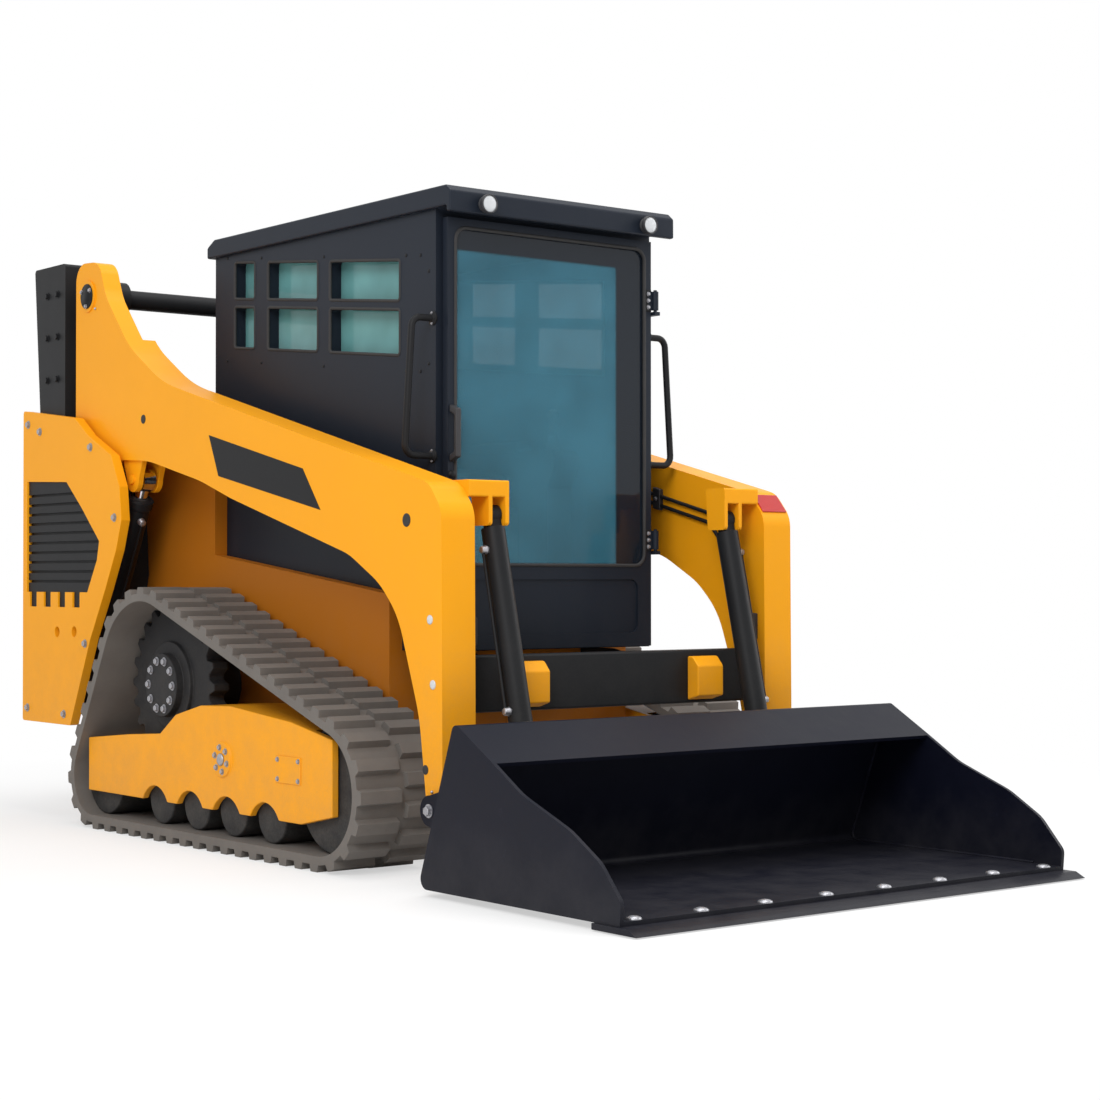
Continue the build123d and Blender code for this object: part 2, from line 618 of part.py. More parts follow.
# ---- arms -------------------------------------------------------------------------------
# corners of the arm's side view: y, z and the radius there
arm_corners = [
    (1530, 2060, 70), (1345, 2050, 80), (1290, 1915, 220), (1110, 1718, 450), (860, 1572, 700),
    (-745, 1170, 90), (-813, 1090, 90), (-820, 190, 30), (-745, 190, 30), (-703, 482, 500), (-592, 780, 300),
    (-490, 876, 300), (-325, 963, 300), (395, 1156, 900), (595, 1220, 900), (965, 1303, 700), (1175, 1315, 250),
    (1310, 1280, 150), (1480, 1330, 100), (1530, 1450, 150),
]
with BuildPart() as arm:
    with BuildSketch(Plane.YZ.offset(-arm_out)):
        with BuildLine():
            corner_radii = [radius for y, z, radius in arm_corners]
            FilletPolyline(*[(y, z) for y, z, radius in arm_corners], radius=corner_radii, close=True)
        make_face()
    extrude(amount=arm_out - arm_in)
    with BuildSketch(Plane.YZ.offset(-horn_in)):
        with Locations((1430, 1950)):
            Rectangle(700, 400)
    extrude(amount=horn_in - arm_in + 5, mode=Mode.SUBTRACT)
    add(cross_pin(foot_y, foot_z, 42, -arm_out, -arm_in))
    for x_from, x_to in ((-lift_x - 48, -lift_x - 30), (-lift_x + 30, -lift_x + 48)):
        add(side_profile([(1055, lift_pin_z), (1145, lift_pin_z), (1180, 1330), (1020, 1330)], x_from, x_to))
        add(cross_pin(lift_pin_y, lift_pin_z, 45, x_from, x_to))
    add(cross_pin(lift_pin_y, lift_pin_z, cylinder_pin_r, -lift_x - 56, -lift_x - 30))
    add(cross_pin(lift_pin_y, lift_pin_z, cylinder_pin_r, -lift_x + 30, -lift_x + 56))
    add(side_profile([(1045, 1150), (1045, 1300), (1090, 1392), (1160, 1395), (1205, 1358), (1300, 1318),
                      (1420, 1304), (1420, 1150)], -lift_x - 28, -lift_x + 28), mode=Mode.SUBTRACT)
    add(cross_pin(foot_y, foot_z, foot_pin_r + pin_gap, -arm_out - 10, -arm_in + 10), mode=Mode.SUBTRACT)
    for x in (-tilt_x - 18 - side_gap - ear_plate, -tilt_x + 18 + side_gap):
        add(side_profile([(-785, 1045), (-705, 1045), (-695, 1180), (-785, 1180)], x, x + ear_plate, 12))
    add(side_profile([(-785, 1130), (-700, 1130), (-700, 1180), (-785, 1180)], -arm_in, -tilt_x + 38, 6))
    add(cross_pin(tilt_base_y, tilt_base_z, cylinder_pin_r, -tilt_x - 38, -tilt_x + 38))
    add(cross_pin(pivot_y, pivot_z, 58, -arm_out - 6, -arm_out))
write_pair(arm.part, "arm")
pivot_tube = cross_pin(pivot_y, pivot_z, main_pin_r, -horn_in, horn_in)
write(pivot_tube, "pivot_tube")
tube_front, tube_rear, tube_bottom, tube_top = cross_tube
write(block(-arm_in, arm_in, tube_front, tube_rear, tube_bottom, tube_top), "front_cross_tube")
stop_points = [
    (tube_front, 500), (tube_front - 52, 515), (tube_front - 52, 610), (tube_front - 25, 640),
    (tube_front, 640),
]
write(both_sides(side_profile(stop_points, -409, -299)), "coupler_stops")

# ---- cylinders --------------------------------------------------------------------------


def cylinder_parts(x, base, pin, sizes, shown_rod, retract):
    """Barrel and rod with their eyes, between two pins in the plane at x; the rod can go in by retract."""
    barrel_r, rod_r, eye_r, eye_width = sizes
    dy, dz = pin[0] - base[0], pin[1] - base[1]
    length = hypot(dy, dz)
    along = Plane(origin=(x, base[0], base[1]), x_dir=(1, 0, 0), z_dir=(0, dy, dz))
    with BuildPart() as barrel:
        with BuildSketch(along.offset(eye_r + 15)):
            Circle(barrel_r)
        extrude(amount=length - eye_r - 15 - shown_rod)
        with BuildSketch(along.offset(length - shown_rod - 30)):
            Circle(barrel_r + 6)
        extrude(amount=30)
        add(cross_pin(base[0], base[1], eye_r, x - eye_width / 2, x + eye_width / 2))
        with BuildSketch(along.offset(eye_r * 0.6)):
            Rectangle(eye_width, eye_r * 1.4)
        extrude(amount=eye_r * 0.4 + 15)
        with BuildSketch(along.offset(eye_r + 17)):
            Circle(rod_r + pin_gap)
        extrude(amount=length, mode=Mode.SUBTRACT)
        base_bore = cross_pin(base[0], base[1], cylinder_pin_r + pin_gap, x - eye_width, x + eye_width)
        add(base_bore, mode=Mode.SUBTRACT)
    with BuildPart() as rod:
        with BuildSketch(along.offset(eye_r + 20 + retract)):
            Circle(rod_r)
        extrude(amount=length - eye_r - 20 - retract - eye_r * 0.6)
        add(cross_pin(pin[0], pin[1], eye_r, x - eye_width / 2, x + eye_width / 2))
    return barrel.part, rod.part


lift_barrel, lift_rod = cylinder_parts(
    -lift_x, (lift_base_y, lift_base_z), (lift_pin_y, lift_pin_z),
    (lift_barrel_r, lift_rod_r, lift_eye_r, lift_eye_width), 75, 0)
write_pair(lift_barrel, "lift_barrel")
write_pair(lift_rod, "lift_rod")
tilt_barrel, tilt_rod = cylinder_parts(
    -tilt_x, (tilt_base_y, tilt_base_z), (tilt_pin_y, tilt_pin_z),
    (tilt_barrel_r, tilt_rod_r, tilt_eye_r, tilt_eye_width), 135, 66)
write_pair(tilt_barrel, "tilt_barrel")
write_pair(tilt_rod, "tilt_rod")

# ---- coupler and bucket -----------------------------------------------------------------
# the bucket's back leans forward from its heel to its rim
heel = (-925.0, bucket_floor_z)
rim = (-1095.0, 495.0)
lip = (-1275.0, 392.0)
back_dir = ((rim[0] - heel[0]) / hypot(rim[0] - heel[0], rim[1] - heel[1]),
            (rim[1] - heel[1]) / hypot(rim[0] - heel[0], rim[1] - heel[1]))
back_out = (back_dir[1], -back_dir[0])


def on_back(up, out):
    """A point up the bucket's back from its heel and out behind it."""
    return (heel[0] + back_dir[0] * up + back_out[0] * out, heel[1] + back_dir[1] * up + back_out[1] * out)


coupler_plate = [on_back(45, 0.0), on_back(45, 16), on_back(430, 16), on_back(430, 0.0)]
with BuildPart() as coupler:
    add(side_profile(coupler_plate, -725, 725))
    for sign in (-1, 1):
        for inner in (arm_in - side_gap - ear_plate, arm_out + side_gap):
            outer = inner + ear_plate
            x_low, x_high = sorted((sign * inner, sign * outer))
            with BuildPart() as ear:
                with BuildSketch(Plane.YZ.offset(x_low)):
                    with BuildLine():
                        Polyline(
                            on_back(60, 0.5), (foot_y, foot_z - 45), (foot_y, foot_z + 45),
                            on_back(330, 0.5), close=True,
                        )
                    make_face()
                    with Locations((foot_y, foot_z)):
                        Circle(45)
                extrude(amount=x_high - x_low)
            add(ear.part)
        pin_inner, pin_outer = arm_in - side_gap - ear_plate, arm_out + side_gap + ear_plate
        x_low, x_high = sorted((sign * pin_inner, sign * pin_outer))
        add(cross_pin(foot_y, foot_z, foot_pin_r, x_low, x_high))
        for near, far in ((tilt_x - 38, tilt_x - 24), (tilt_x + 24, tilt_x + 38)):
            x_low, x_high = sorted((sign * near, sign * far))
            add(side_profile([on_back(180, 0.5), on_back(330, 0.5), (tilt_pin_y, tilt_pin_z + 38),
                              (tilt_pin_y, tilt_pin_z - 38)], x_low, x_high))
            add(cross_pin(tilt_pin_y, tilt_pin_z, 40, x_low, x_high))
        for near, far in ((tilt_x - 44, tilt_x - 24), (tilt_x + 24, tilt_x + 44)):
            x_low, x_high = sorted((sign * near, sign * far))
            add(cross_pin(tilt_pin_y, tilt_pin_z, cylinder_pin_r, x_low, x_high))
        add(side_profile([on_back(210, -0.5), on_back(330, -0.5), on_back(330, 20), on_back(210, 20)],
                         sign * tilt_x - 24, sign * tilt_x + 24), mode=Mode.SUBTRACT)
        add(side_profile([on_back(332, -0.5), on_back(440, -0.5), on_back(440, 20), on_back(332, 20)],
                         sign * tilt_x - 50, sign * tilt_x + 50), mode=Mode.SUBTRACT)
write(coupler.part, "coupler")

heel_r, rim_r = 30.0, 20.0
floor_front = (tip_y + 75, bucket_floor_z)
# corners of the bucket's side plate: y, z and the radius there
side_corners = [
    (*floor_front, 0), (*heel, heel_r), (*rim, rim_r), (*lip, 25), (-1400, 318, 250), (-1600, 243, 250),
    (-1722, 172, 120), (-1805, 80, 30),
]
wear_strip = 14.0
with BuildPart() as shell:
    with BuildSketch(Plane.YZ.offset(-bucket_half)):
        with BuildLine():
            FilletPolyline(floor_front, heel, rim, lip, radius=(heel_r, rim_r))
            offset(amount=-bucket_plate, side=Side.LEFT, closed=True)
        make_face()
    extrude(amount=2 * bucket_half)
    for x in (-bucket_half, bucket_half - bucket_plate):
        with BuildSketch(Plane.YZ.offset(x)):
            with BuildLine():
                corner_radii = [radius for y, z, radius in side_corners]
                FilletPolyline(*[(y, z) for y, z, radius in side_corners], radius=corner_radii, close=True)
            make_face()
        extrude(amount=bucket_plate)
    for x in (-600, -200, 200, 600):
        add(block(x - 40, x + 40, -1690, heel[0] - 60, bucket_floor_z - wear_strip, bucket_floor_z))
write(shell.part, "bucket_shell")
edge_points = [
    (tip_y, 3), (tip_y + 175, 3), (tip_y + 175, bucket_floor_z), (tip_y + 35, bucket_floor_z),
]
write(side_profile(edge_points, -edge_half, edge_half), "cutting_edge")
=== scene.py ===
import json
from math import cos, exp, pi, radians, sin

import bmesh
import bpy
from mathutils import Matrix, Vector


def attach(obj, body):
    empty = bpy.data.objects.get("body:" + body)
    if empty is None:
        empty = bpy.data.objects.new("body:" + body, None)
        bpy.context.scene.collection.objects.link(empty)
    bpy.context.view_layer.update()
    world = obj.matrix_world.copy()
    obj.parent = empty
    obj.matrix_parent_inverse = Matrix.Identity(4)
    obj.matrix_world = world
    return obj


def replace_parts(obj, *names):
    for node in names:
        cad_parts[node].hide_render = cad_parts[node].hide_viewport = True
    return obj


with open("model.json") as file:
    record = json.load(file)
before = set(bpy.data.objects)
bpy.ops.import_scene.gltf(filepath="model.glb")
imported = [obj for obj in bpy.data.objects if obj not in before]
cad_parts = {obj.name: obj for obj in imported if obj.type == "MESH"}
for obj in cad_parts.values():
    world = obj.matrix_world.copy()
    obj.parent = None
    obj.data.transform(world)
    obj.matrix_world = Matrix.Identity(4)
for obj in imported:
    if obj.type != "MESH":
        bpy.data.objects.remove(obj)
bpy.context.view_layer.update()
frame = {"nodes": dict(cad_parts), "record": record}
body_of = {node: body for body, nodes in frame["record"]["behaviour"]["bodies"].items() for node in nodes}
slot_of = {part["node"]: part["material_slot"] for part in frame["record"]["subparts"]}


def add_node(tree, kind, settings=None, inputs=None):
    """Adds a node, sets it up, and gives each input a plain value, a link or several links."""
    made = tree.nodes.new(kind)
    for key, setting in (settings or {}).items():
        setattr(made, key, setting)
    for key, given in (inputs or {}).items():
        for one in given if isinstance(given, list) else [given]:
            one = one.socket if isinstance(one, Value) else one
            if isinstance(one, bpy.types.NodeSocket):
                tree.links.new(one, made.inputs[key])
            elif one is not None:
                made.inputs[key].default_value = one
    return made


# ---- finishes ----
class Value:
    """A shader socket that Python arithmetic works on."""

    def __init__(self, finish, socket):
        self.finish, self.socket = finish, socket

    def math(self, operation, first, second, clamp=False):
        return self.finish.node("ShaderNodeMath", {"operation": operation, "use_clamp": clamp}, {0: first, 1: second})

    def __add__(self, other): return self.math("ADD", self, other)
    def __sub__(self, other): return self.math("SUBTRACT", self, other)
    def __rsub__(self, other): return self.math("SUBTRACT", other, self)
    def __mul__(self, other): return self.math("MULTIPLY", self, other)
    def __truediv__(self, other): return self.math("DIVIDE", self, other)

    def limited(self):
        return self.math("ADD", self, 0.0, clamp=True)

    def above(self, edge, softness=0.05):
        """0 below the edge and 1 above it, with a soft step."""
        return ((self - (edge - softness)) / (2 * softness)).limited()


class Finish:
    """One material: its nodes, and the surface they feed."""

    def __init__(self, name):
        self.material = bpy.data.materials.new(name)
        self.material.use_nodes = True
        self.tree = self.material.node_tree
        self.tree.nodes.clear()
        self.output = self.tree.nodes.new("ShaderNodeOutputMaterial")
        self.place = self.node("ShaderNodeTexCoord", output="Object")
        split = self.node("ShaderNodeSeparateXYZ", inputs={0: self.place}, output=None)
        self.x, self.z = (Value(self, split.outputs[index]) for index in (0, 2))

    def node(self, kind, settings=None, inputs=None, output=0):
        """Adds a node and gives its output as a Value, or the node itself."""
        made = add_node(self.tree, kind, settings, inputs)
        return made if output is None else Value(self, made.outputs[output])

    def bands(self, scale):
        """Fine parallel bands across the x axis."""
        wave = {"Vector": self.place, "Scale": scale}
        return self.node("ShaderNodeTexWave", {"bands_direction": "X"}, wave, output=1)

    def noise(self, scale, detail=3.0, roughness=0.55, at=None):
        return self.node("ShaderNodeTexNoise", inputs={
            "Vector": at or self.place, "Scale": scale, "Detail": detail, "Roughness": roughness})

    def stretched(self, x, y, z):
        """The place, scaled on each axis, for streaks and brushed marks."""
        return self.node("ShaderNodeVectorMath", {"operation": "MULTIPLY"}, {0: self.place, 1: (x, y, z)})

    def blend(self, amount, below, over):
        """A colour between two colours."""
        below, over = (given if isinstance(given, Value) else (*given, 1.0) for given in (below, over))
        return self.node("ShaderNodeMix", {"data_type": "RGBA"}, {0: amount, 6: below, 7: over}, output=2)

    def bump(self, height, depth):
        return self.node("ShaderNodeBump", inputs={"Height": height, "Distance": depth})

    def surface(self, colour, roughness, metallic=0.0, normal=None, coat=0.0, coat_roughness=0.1, alpha=1.0,
                specular=0.5):
        shader = self.node("ShaderNodeBsdfPrincipled", inputs={
            "Base Color": colour if isinstance(colour, Value) else (*colour, 1.0), "Roughness": roughness,
            "Metallic": metallic, "Normal": normal, "Coat Weight": coat, "Coat Roughness": coat_roughness,
            "Alpha": alpha, "Specular IOR Level": specular})
        self.tree.links.new(shader.socket, self.output.inputs["Surface"])
        return self.material


def tone(colour, factor):
    return tuple(min(1.0, channel * factor) for channel in colour)


# Base colours, and how high road dust reaches on the machine, in metres.
DUST = (0.23, 0.215, 0.19)
YELLOW = (0.93, 0.378, 0.006)
# The hull colour is the body yellow darkened as painted shade, for the hull side in the shadow of the arms.
SHADED_HULL = (0.44, 0.142, 0.008)
CAB = (0.012, 0.0165, 0.026)
BLACK = (0.012, 0.0125, 0.014)
BUCKET = (0.004, 0.0048, 0.0115)
GEAR = (0.019, 0.019, 0.021)
RUBBER = (0.138, 0.124, 0.112)
BARE_STEEL = (0.3, 0.29, 0.28)
# The scrape colour is real scraping made bluish as a painted highlight of the bucket's lip.
SCRAPES_AND_SHEEN = (0.04, 0.043, 0.075)
DARK_BAND = (0.013, 0.018, 0.026)
TINT = (0.062, 0.225, 0.315)
# The side tint is a lighter copy of the cab glass tint: painted light for the side panes' brightness.
LIGHTER_SIDE_TINT = (0.15, 0.37, 0.37)
dust_top, bucket_dust_top = 0.8, 0.35


def paint(name, colour, coat, specular, roughness=0.4, dust=0.3, peel=0.00005):
    """Sprayed paint: faint orange peel, slow changes of shade, and road dust low down."""
    finish = Finish(name)
    broad = finish.noise(1.7, 3)
    mottle = finish.noise(14, 5, 0.6)
    speck = finish.noise(120, 3, 0.7)
    low = (1.0 - finish.z / dust_top).limited()
    dust_and_reflection_film = (low * 0.75 + 0.08) * (mottle * 0.7 + speck * 0.5).above(0.6, 0.2) * dust
    shade = finish.blend(broad, tone(colour, 0.95), tone(colour, 1.05))
    shade = finish.blend(dust_and_reflection_film.limited(), shade, DUST)
    rough = mottle * 0.1 + dust_and_reflection_film * 0.5 + (roughness - 0.05)
    height = finish.noise(700, 2) + mottle * 0.6
    return finish.surface(shade, rough.limited(), normal=finish.bump(height, peel), coat=coat, coat_roughness=0.15,
                          specular=specular)


def worn_edge(name, colour, share):
    """Paint on an edge: a little lighter, and rubbed through to steel in short runs."""
    finish = Finish(name)
    patch = finish.noise(11, 4, 0.7) * 0.7 + finish.noise(95, 3, 0.7) * 0.3
    bare = patch.above(share, 0.035)
    shade = finish.blend(finish.noise(40, 3), colour, tone(colour, 1.15))
    shade = finish.blend(bare, shade, BARE_STEEL)
    return finish.surface(shade, bare * 0.12 + 0.38, metallic=bare * 0.7, coat=0.05, specular=0.3)


def bucket_paint(name, edge):
    """Digging-tool paint: scraped along the way the load slides, with a painted bluish sheen in the scrapes, and
    dusty in the corners.
    """
    finish = Finish(name)
    scrape = finish.noise(6, 5, 0.75, at=finish.stretched(9, 1, 1.5))
    mottle = finish.noise(9, 5, 0.65)
    fine = finish.noise(210, 3, 0.7)
    scrape_and_sheen_marks = (scrape * 0.75 + fine * 0.25).above(0.6 if edge else 0.68, 0.05)
    low = (1.0 - finish.z / bucket_dust_top).limited()
    shade = finish.blend(mottle, tone(BUCKET, 0.8), tone(BUCKET, 1.3))
    shade = finish.blend(scrape_and_sheen_marks * 0.35, shade, SCRAPES_AND_SHEEN)
    shade = finish.blend((mottle * low).above(0.38, 0.2) * 0.06, shade, DUST)
    rough = mottle * 0.15 + scrape_and_sheen_marks * -0.08 + 0.36
    relief = finish.bump(scrape + fine * 0.4, 0.0003)
    return finish.surface(shade, rough, metallic=scrape_and_sheen_marks * 0.4, normal=relief, specular=0.15)


def rubber(name, colour, dust, grain_depth=0.0006):
    """Matt rubber with a fine grain, and dust in patches."""
    finish = Finish(name)
    mottle = finish.noise(8, 5, 0.65)
    grain = finish.noise(330, 3, 0.7)
    shade = finish.blend(mottle, tone(colour, 0.8), tone(colour, 1.2))
    shade = finish.blend((mottle * 0.6 + grain * 0.55).above(0.54, 0.2) * dust, shade, DUST)
    return finish.surface(shade, mottle * 0.15 + 0.7, normal=finish.bump(grain + mottle, grain_depth))


def chrome():
    """Polished plating, faintly streaked along the rod."""
    finish = Finish("chromed rod")
    streak = finish.noise(60, 2, at=finish.stretched(1, 1, 0.05))
    return finish.surface((0.74, 0.74, 0.77), streak * 0.06 + 0.07, metallic=1.0)


def zinc():
    """Dull plating with a fine spangle, for bolts and fittings."""
    finish = Finish("zinc plate")
    patch = finish.noise(160, 3)
    shade = finish.blend(patch, (0.3, 0.3, 0.32), (0.48, 0.48, 0.51))
    return finish.surface(shade, patch * 0.2 + 0.3, metallic=0.8, normal=finish.bump(patch, 0.00008))


def moulded(name, colour, roughness=0.5, grain=0.00018, scale=520.0):
    """Plastic or vinyl with a moulded leather grain."""
    finish = Finish(name)
    leather = finish.node("ShaderNodeTexVoronoi", inputs={"Vector": finish.place, "Scale": scale})
    broad = finish.noise(5, 3)
    shade = finish.blend(broad, tone(colour, 0.88), tone(colour, 1.12))
    return finish.surface(shade, broad * 0.1 + roughness, normal=finish.bump(leather, grain))


def seat_cloth():
    """Ribbed cloth: fine cords across the seat, with a darker thread between them."""
    finish = Finish("seat cloth")
    cord = finish.bands(90.0)
    thread = finish.noise(900, 2)
    shade = finish.blend(cord * 0.7 + thread * 0.3, (0.035, 0.036, 0.04), (0.085, 0.088, 0.095))
    return finish.surface(shade, thread * 0.1 + 0.8, normal=finish.bump(cord + thread * 0.4, 0.0006))


def glass(name, colour, alpha, border=None):
    """Tinted glass with soft lighter patches of painted reflection. border is the x and z past which the glass turns
    to a dark, nearly opaque band.
    """
    finish = Finish(name)
    # Soft lighter patches across the glass: painted reflection.
    dust_and_reflection_film = finish.noise(2.5, 3, 0.6)
    shade = finish.blend(dust_and_reflection_film.above(0.5, 0.16), tone(colour, 0.78), tone(colour, 1.25))
    if border:
        # Past border's x and z the glass darkens to a nearly opaque band.
        dark_band = (finish.x.above(border[0], 0.004) + finish.z.above(border[1], 0.004)).limited()
        shade = finish.blend(dark_band, shade, DARK_BAND)
        alpha = dark_band * (0.93 - alpha) + alpha
    return finish.surface(shade, 0.06, alpha=alpha, specular=0.3)


def lens(name, colour, coat):
    """A lamp's lens or a reflector, ribbed inside."""
    finish = Finish(name)
    return finish.surface(colour, 0.15, normal=finish.bump(finish.bands(60.0), 0.0004), coat=coat)


def cast():
    """Rough grey castings."""
    finish = Finish("cast iron")
    grain = finish.noise(260, 4, 0.7)
    shade = finish.blend(grain, (0.05, 0.05, 0.055), (0.12, 0.12, 0.125))
    return finish.surface(shade, 0.6, metallic=0.3, normal=finish.bump(grain, 0.0006))


def weld():
    """A painted weld's ripples."""
    finish = Finish("painted weld")
    ripple = finish.noise(240, 2, 0.5)
    return finish.surface(finish.blend(ripple, tone(YELLOW, 0.8), YELLOW), 0.4, normal=finish.bump(ripple, 0.0008))


yellow = paint("yellow paint", YELLOW, coat=0.04, specular=0.12)
yellow_edge = worn_edge("yellow paint on edges", YELLOW, share=0.7)
# The hull's darker paint is painted shade, on the hull side under the arms.
shaded_hull_yellow = paint("hull paint darkened as painted shade", SHADED_HULL, roughness=0.46, dust=0.25, coat=0.0, specular=0.12)
shaded_hull_edge = worn_edge("hull paint darkened as painted shade on edges", SHADED_HULL, share=0.74)
cab_paint = paint("cab paint", CAB, roughness=0.42, dust=0.12, coat=0.02, specular=0.15)
cab_edge = worn_edge("cab paint on edges", tone(CAB, 1.6), share=0.8)
black = paint("black paint", BLACK, roughness=0.46, dust=0.12, coat=0.0, specular=0.15)
black_edge = worn_edge("black paint on edges", tone(BLACK, 1.6), share=0.73)
gear_paint = paint("running gear paint", GEAR, roughness=0.58, coat=0.0, peel=0.0002, specular=0.18)
gear_edge = worn_edge("running gear paint on edges", tone(GEAR, 1.4), share=0.62)
bucket_plate = bucket_paint("bucket paint", False)
bucket_edge = bucket_paint("bucket paint on edges", True)
track_rubber = rubber("track rubber", RUBBER, 0.15)
seal_rubber = rubber("seal rubber", (0.016, 0.016, 0.018), 0.08, 0.0002)
rod_chrome = chrome()
zinc_plate = zinc()
plastic = moulded("moulded plastic", (0.026, 0.026, 0.03))
vinyl = moulded("seat vinyl", (0.022, 0.022, 0.026), 0.55, 0.0003, 380.0)
cloth = seat_cloth()
cab_glass = glass("tinted glass", TINT, 0.46)
# The side panes get a lighter, more opaque copy of the glass as painted light.
side_glass = glass("side glass painted lighter", LIGHTER_SIDE_TINT, 0.68)
door_pane = glass("door glass", TINT, 0.46, border=(0.27, 1.914))
lamp_lens = lens("lamp lens", (0.6, 0.62, 0.64), 0.4)
red_lens = lens("red lens", (0.48, 0.01, 0.008), 0.1)
iron = cast()
painted_weld = weld()

# A material slot of the record, with the finish that a small fitting takes.
sealing, trim = ("trim_plastic", seal_rubber), ("trim_plastic", plastic)
zinced, blacked = ("rod_chrome", zinc_plate), ("frame_black", black)

# The finish of each slot's CAD pieces and of their edges; some pieces have their own.
finish_of = {
    "body_yellow": (yellow, yellow_edge), "cab_dark": (cab_paint, cab_edge), "frame_black": (black, black_edge),
    "bucket_black": (bucket_plate, bucket_edge), "track_rubber": (track_rubber, track_rubber),
    "track_steel": (gear_paint, gear_edge), "rod_chrome": (rod_chrome, rod_chrome),
    "cab_glass": (cab_glass, cab_glass), "lamp_lens": (lamp_lens, lamp_lens), "lamp_red": (red_lens, red_lens),
    "trim_plastic": (plastic, plastic), "seat_vinyl": (vinyl, vinyl), "engine_iron": (iron, iron),
}
own_finish = {
    "main_frame": (shaded_hull_yellow, shaded_hull_edge), "side_windows": (side_glass, side_glass),
    "door_glass": (door_pane, door_pane),
}


def finish_pair(node):
    return own_finish.get(node, finish_of[slot_of[node]])


# ---- making pieces ----
def linked(name, data):
    """A new object in the scene."""
    made = bpy.data.objects.new(name, data)
    bpy.context.scene.collection.objects.link(made)
    return made


def written(form, name, smooth=False):
    """A bmesh written out as a mesh."""
    for face in form.faces if smooth else ():
        face.smooth = True
    mesh = bpy.data.meshes.new(name)
    form.to_mesh(mesh)
    form.free()
    return mesh


def dressed(mesh, finishes):
    mesh.materials.clear()
    for finish in finishes:
        mesh.materials.append(finish)
    return mesh


def placed(name, mesh, body, slot, *finishes):
    """Links a finished mesh as a piece that rides on a body."""
    piece = linked(name, dressed(mesh, finishes))
    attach(piece, body)
    return piece


def settled(piece):
    """The evaluated mesh of a piece with modifiers, as plain mesh data; the piece is removed."""
    bpy.context.view_layer.update()
    mesh = bpy.data.meshes.new_from_object(piece.evaluated_get(bpy.context.evaluated_depsgraph_get()))
    bpy.data.objects.remove(piece)
    return mesh


def eased(node, width, segments=2, angle=28):
    """The CAD piece with its sharp edges rounded over; the rounding takes the edge finish."""
    form = bmesh.new()
    form.from_mesh(frame["nodes"][node].data)
    bmesh.ops.remove_doubles(form, verts=form.verts, dist=0.00002)
    bmesh.ops.dissolve_limit(form, angle_limit=radians(0.6), verts=form.verts, edges=form.edges)
    raw = linked(node + "_raw", dressed(written(form, node, smooth=True), finish_pair(node)))
    rounding = raw.modifiers.new("edges", "BEVEL")
    rounding.width, rounding.segments, rounding.angle_limit = width, segments, radians(angle)
    rounding.limit_method, rounding.material, rounding.miter_outer = "ANGLE", 1, "MITER_ARC"
    shading = raw.modifiers.new("shading", "WEIGHTED_NORMAL")
    shading.mode, shading.weight, shading.thresh = "FACE_AREA", 100, 0.0001
    piece = placed(node + "_eased", settled(raw), body_of[node], slot_of[node], *finish_pair(node))
    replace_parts(piece, node)
    return piece


def oblong(a_low, b_low, a_high, b_high):
    """A rectangle's corners, in order round it."""
    return [(a_low, b_low), (a_high, b_low), (a_high, b_high), (a_low, b_high)]


class Form:
    """A mesh put together from turned, flat and rounded forms, in metres in the machine's frame."""

    def __init__(self):
        self.mesh = bmesh.new()

    def turned(self, centre, axis, profile, steps=32, smooth=True):
        """A closed form turned round an axis, from (radius, distance along the axis) points."""
        turn = Vector((0, 0, 1)).rotation_difference(Vector(axis)).to_matrix()
        rings = []
        for radius, along in profile:
            count = steps if radius > 0 else 1
            rings.append([self.mesh.verts.new(Vector(centre) + turn @ Vector(
                (radius * cos(2 * pi * i / steps), radius * sin(2 * pi * i / steps), along))) for i in range(count)])
        for low, high in zip(rings, rings[1:]):
            for i in range(steps):
                corners = [low[i % len(low)], low[(i + 1) % len(low)], high[(i + 1) % len(high)], high[i % len(high)]]
                self.mesh.faces.new(list(dict.fromkeys(corners))).smooth = smooth
        return self

    def plate(self, outline, low, high, axis="x", ease=0.0015, segments=2):
        """A flat outline given a thickness along x, y or z, with its edges rounded."""
        spread = {"x": lambda a, b, c: (c, a, b), "y": lambda a, b, c: (a, c, b),
                  "z": lambda a, b, c: (a, b, c)}[axis]
        near = [self.mesh.verts.new(spread(a, b, low)) for a, b in outline]
        far = [self.mesh.verts.new(spread(a, b, high)) for a, b in outline]
        faces = [self.mesh.faces.new(near), self.mesh.faces.new(far[::-1])]
        count = len(outline)
        for i in range(count):
            faces.append(self.mesh.faces.new((near[i], near[(i + 1) % count], far[(i + 1) % count], far[i])))
        bmesh.ops.recalc_face_normals(self.mesh, faces=faces)
        if ease:
            edges = list({edge for face in faces for edge in face.edges})
            made = bmesh.ops.bevel(self.mesh, geom=edges, offset=ease, segments=segments, affect="EDGES", profile=0.5)
            for face in made["faces"]:
                face.smooth = True
        return self

    def wall(self, outline, side, near, far, ease=0.0015, segments=2):
        """A plate on one side of the machine, between two distances from its middle."""
        return self.plate(outline, *sorted((side * near, side * far)), "x", ease, segments)

    def block(self, low, high, ease=0.0015, segments=2):
        return self.plate(oblong(*low[:2], *high[:2]), low[2], high[2], "z", ease, segments)

    def piece(self, name, body, slot, *finishes):
        bmesh.ops.remove_doubles(self.mesh, verts=self.mesh.verts, dist=0.000001)
        bmesh.ops.recalc_face_normals(self.mesh, faces=self.mesh.faces)
        return placed(name, written(self.mesh, name), body, slot, *finishes)


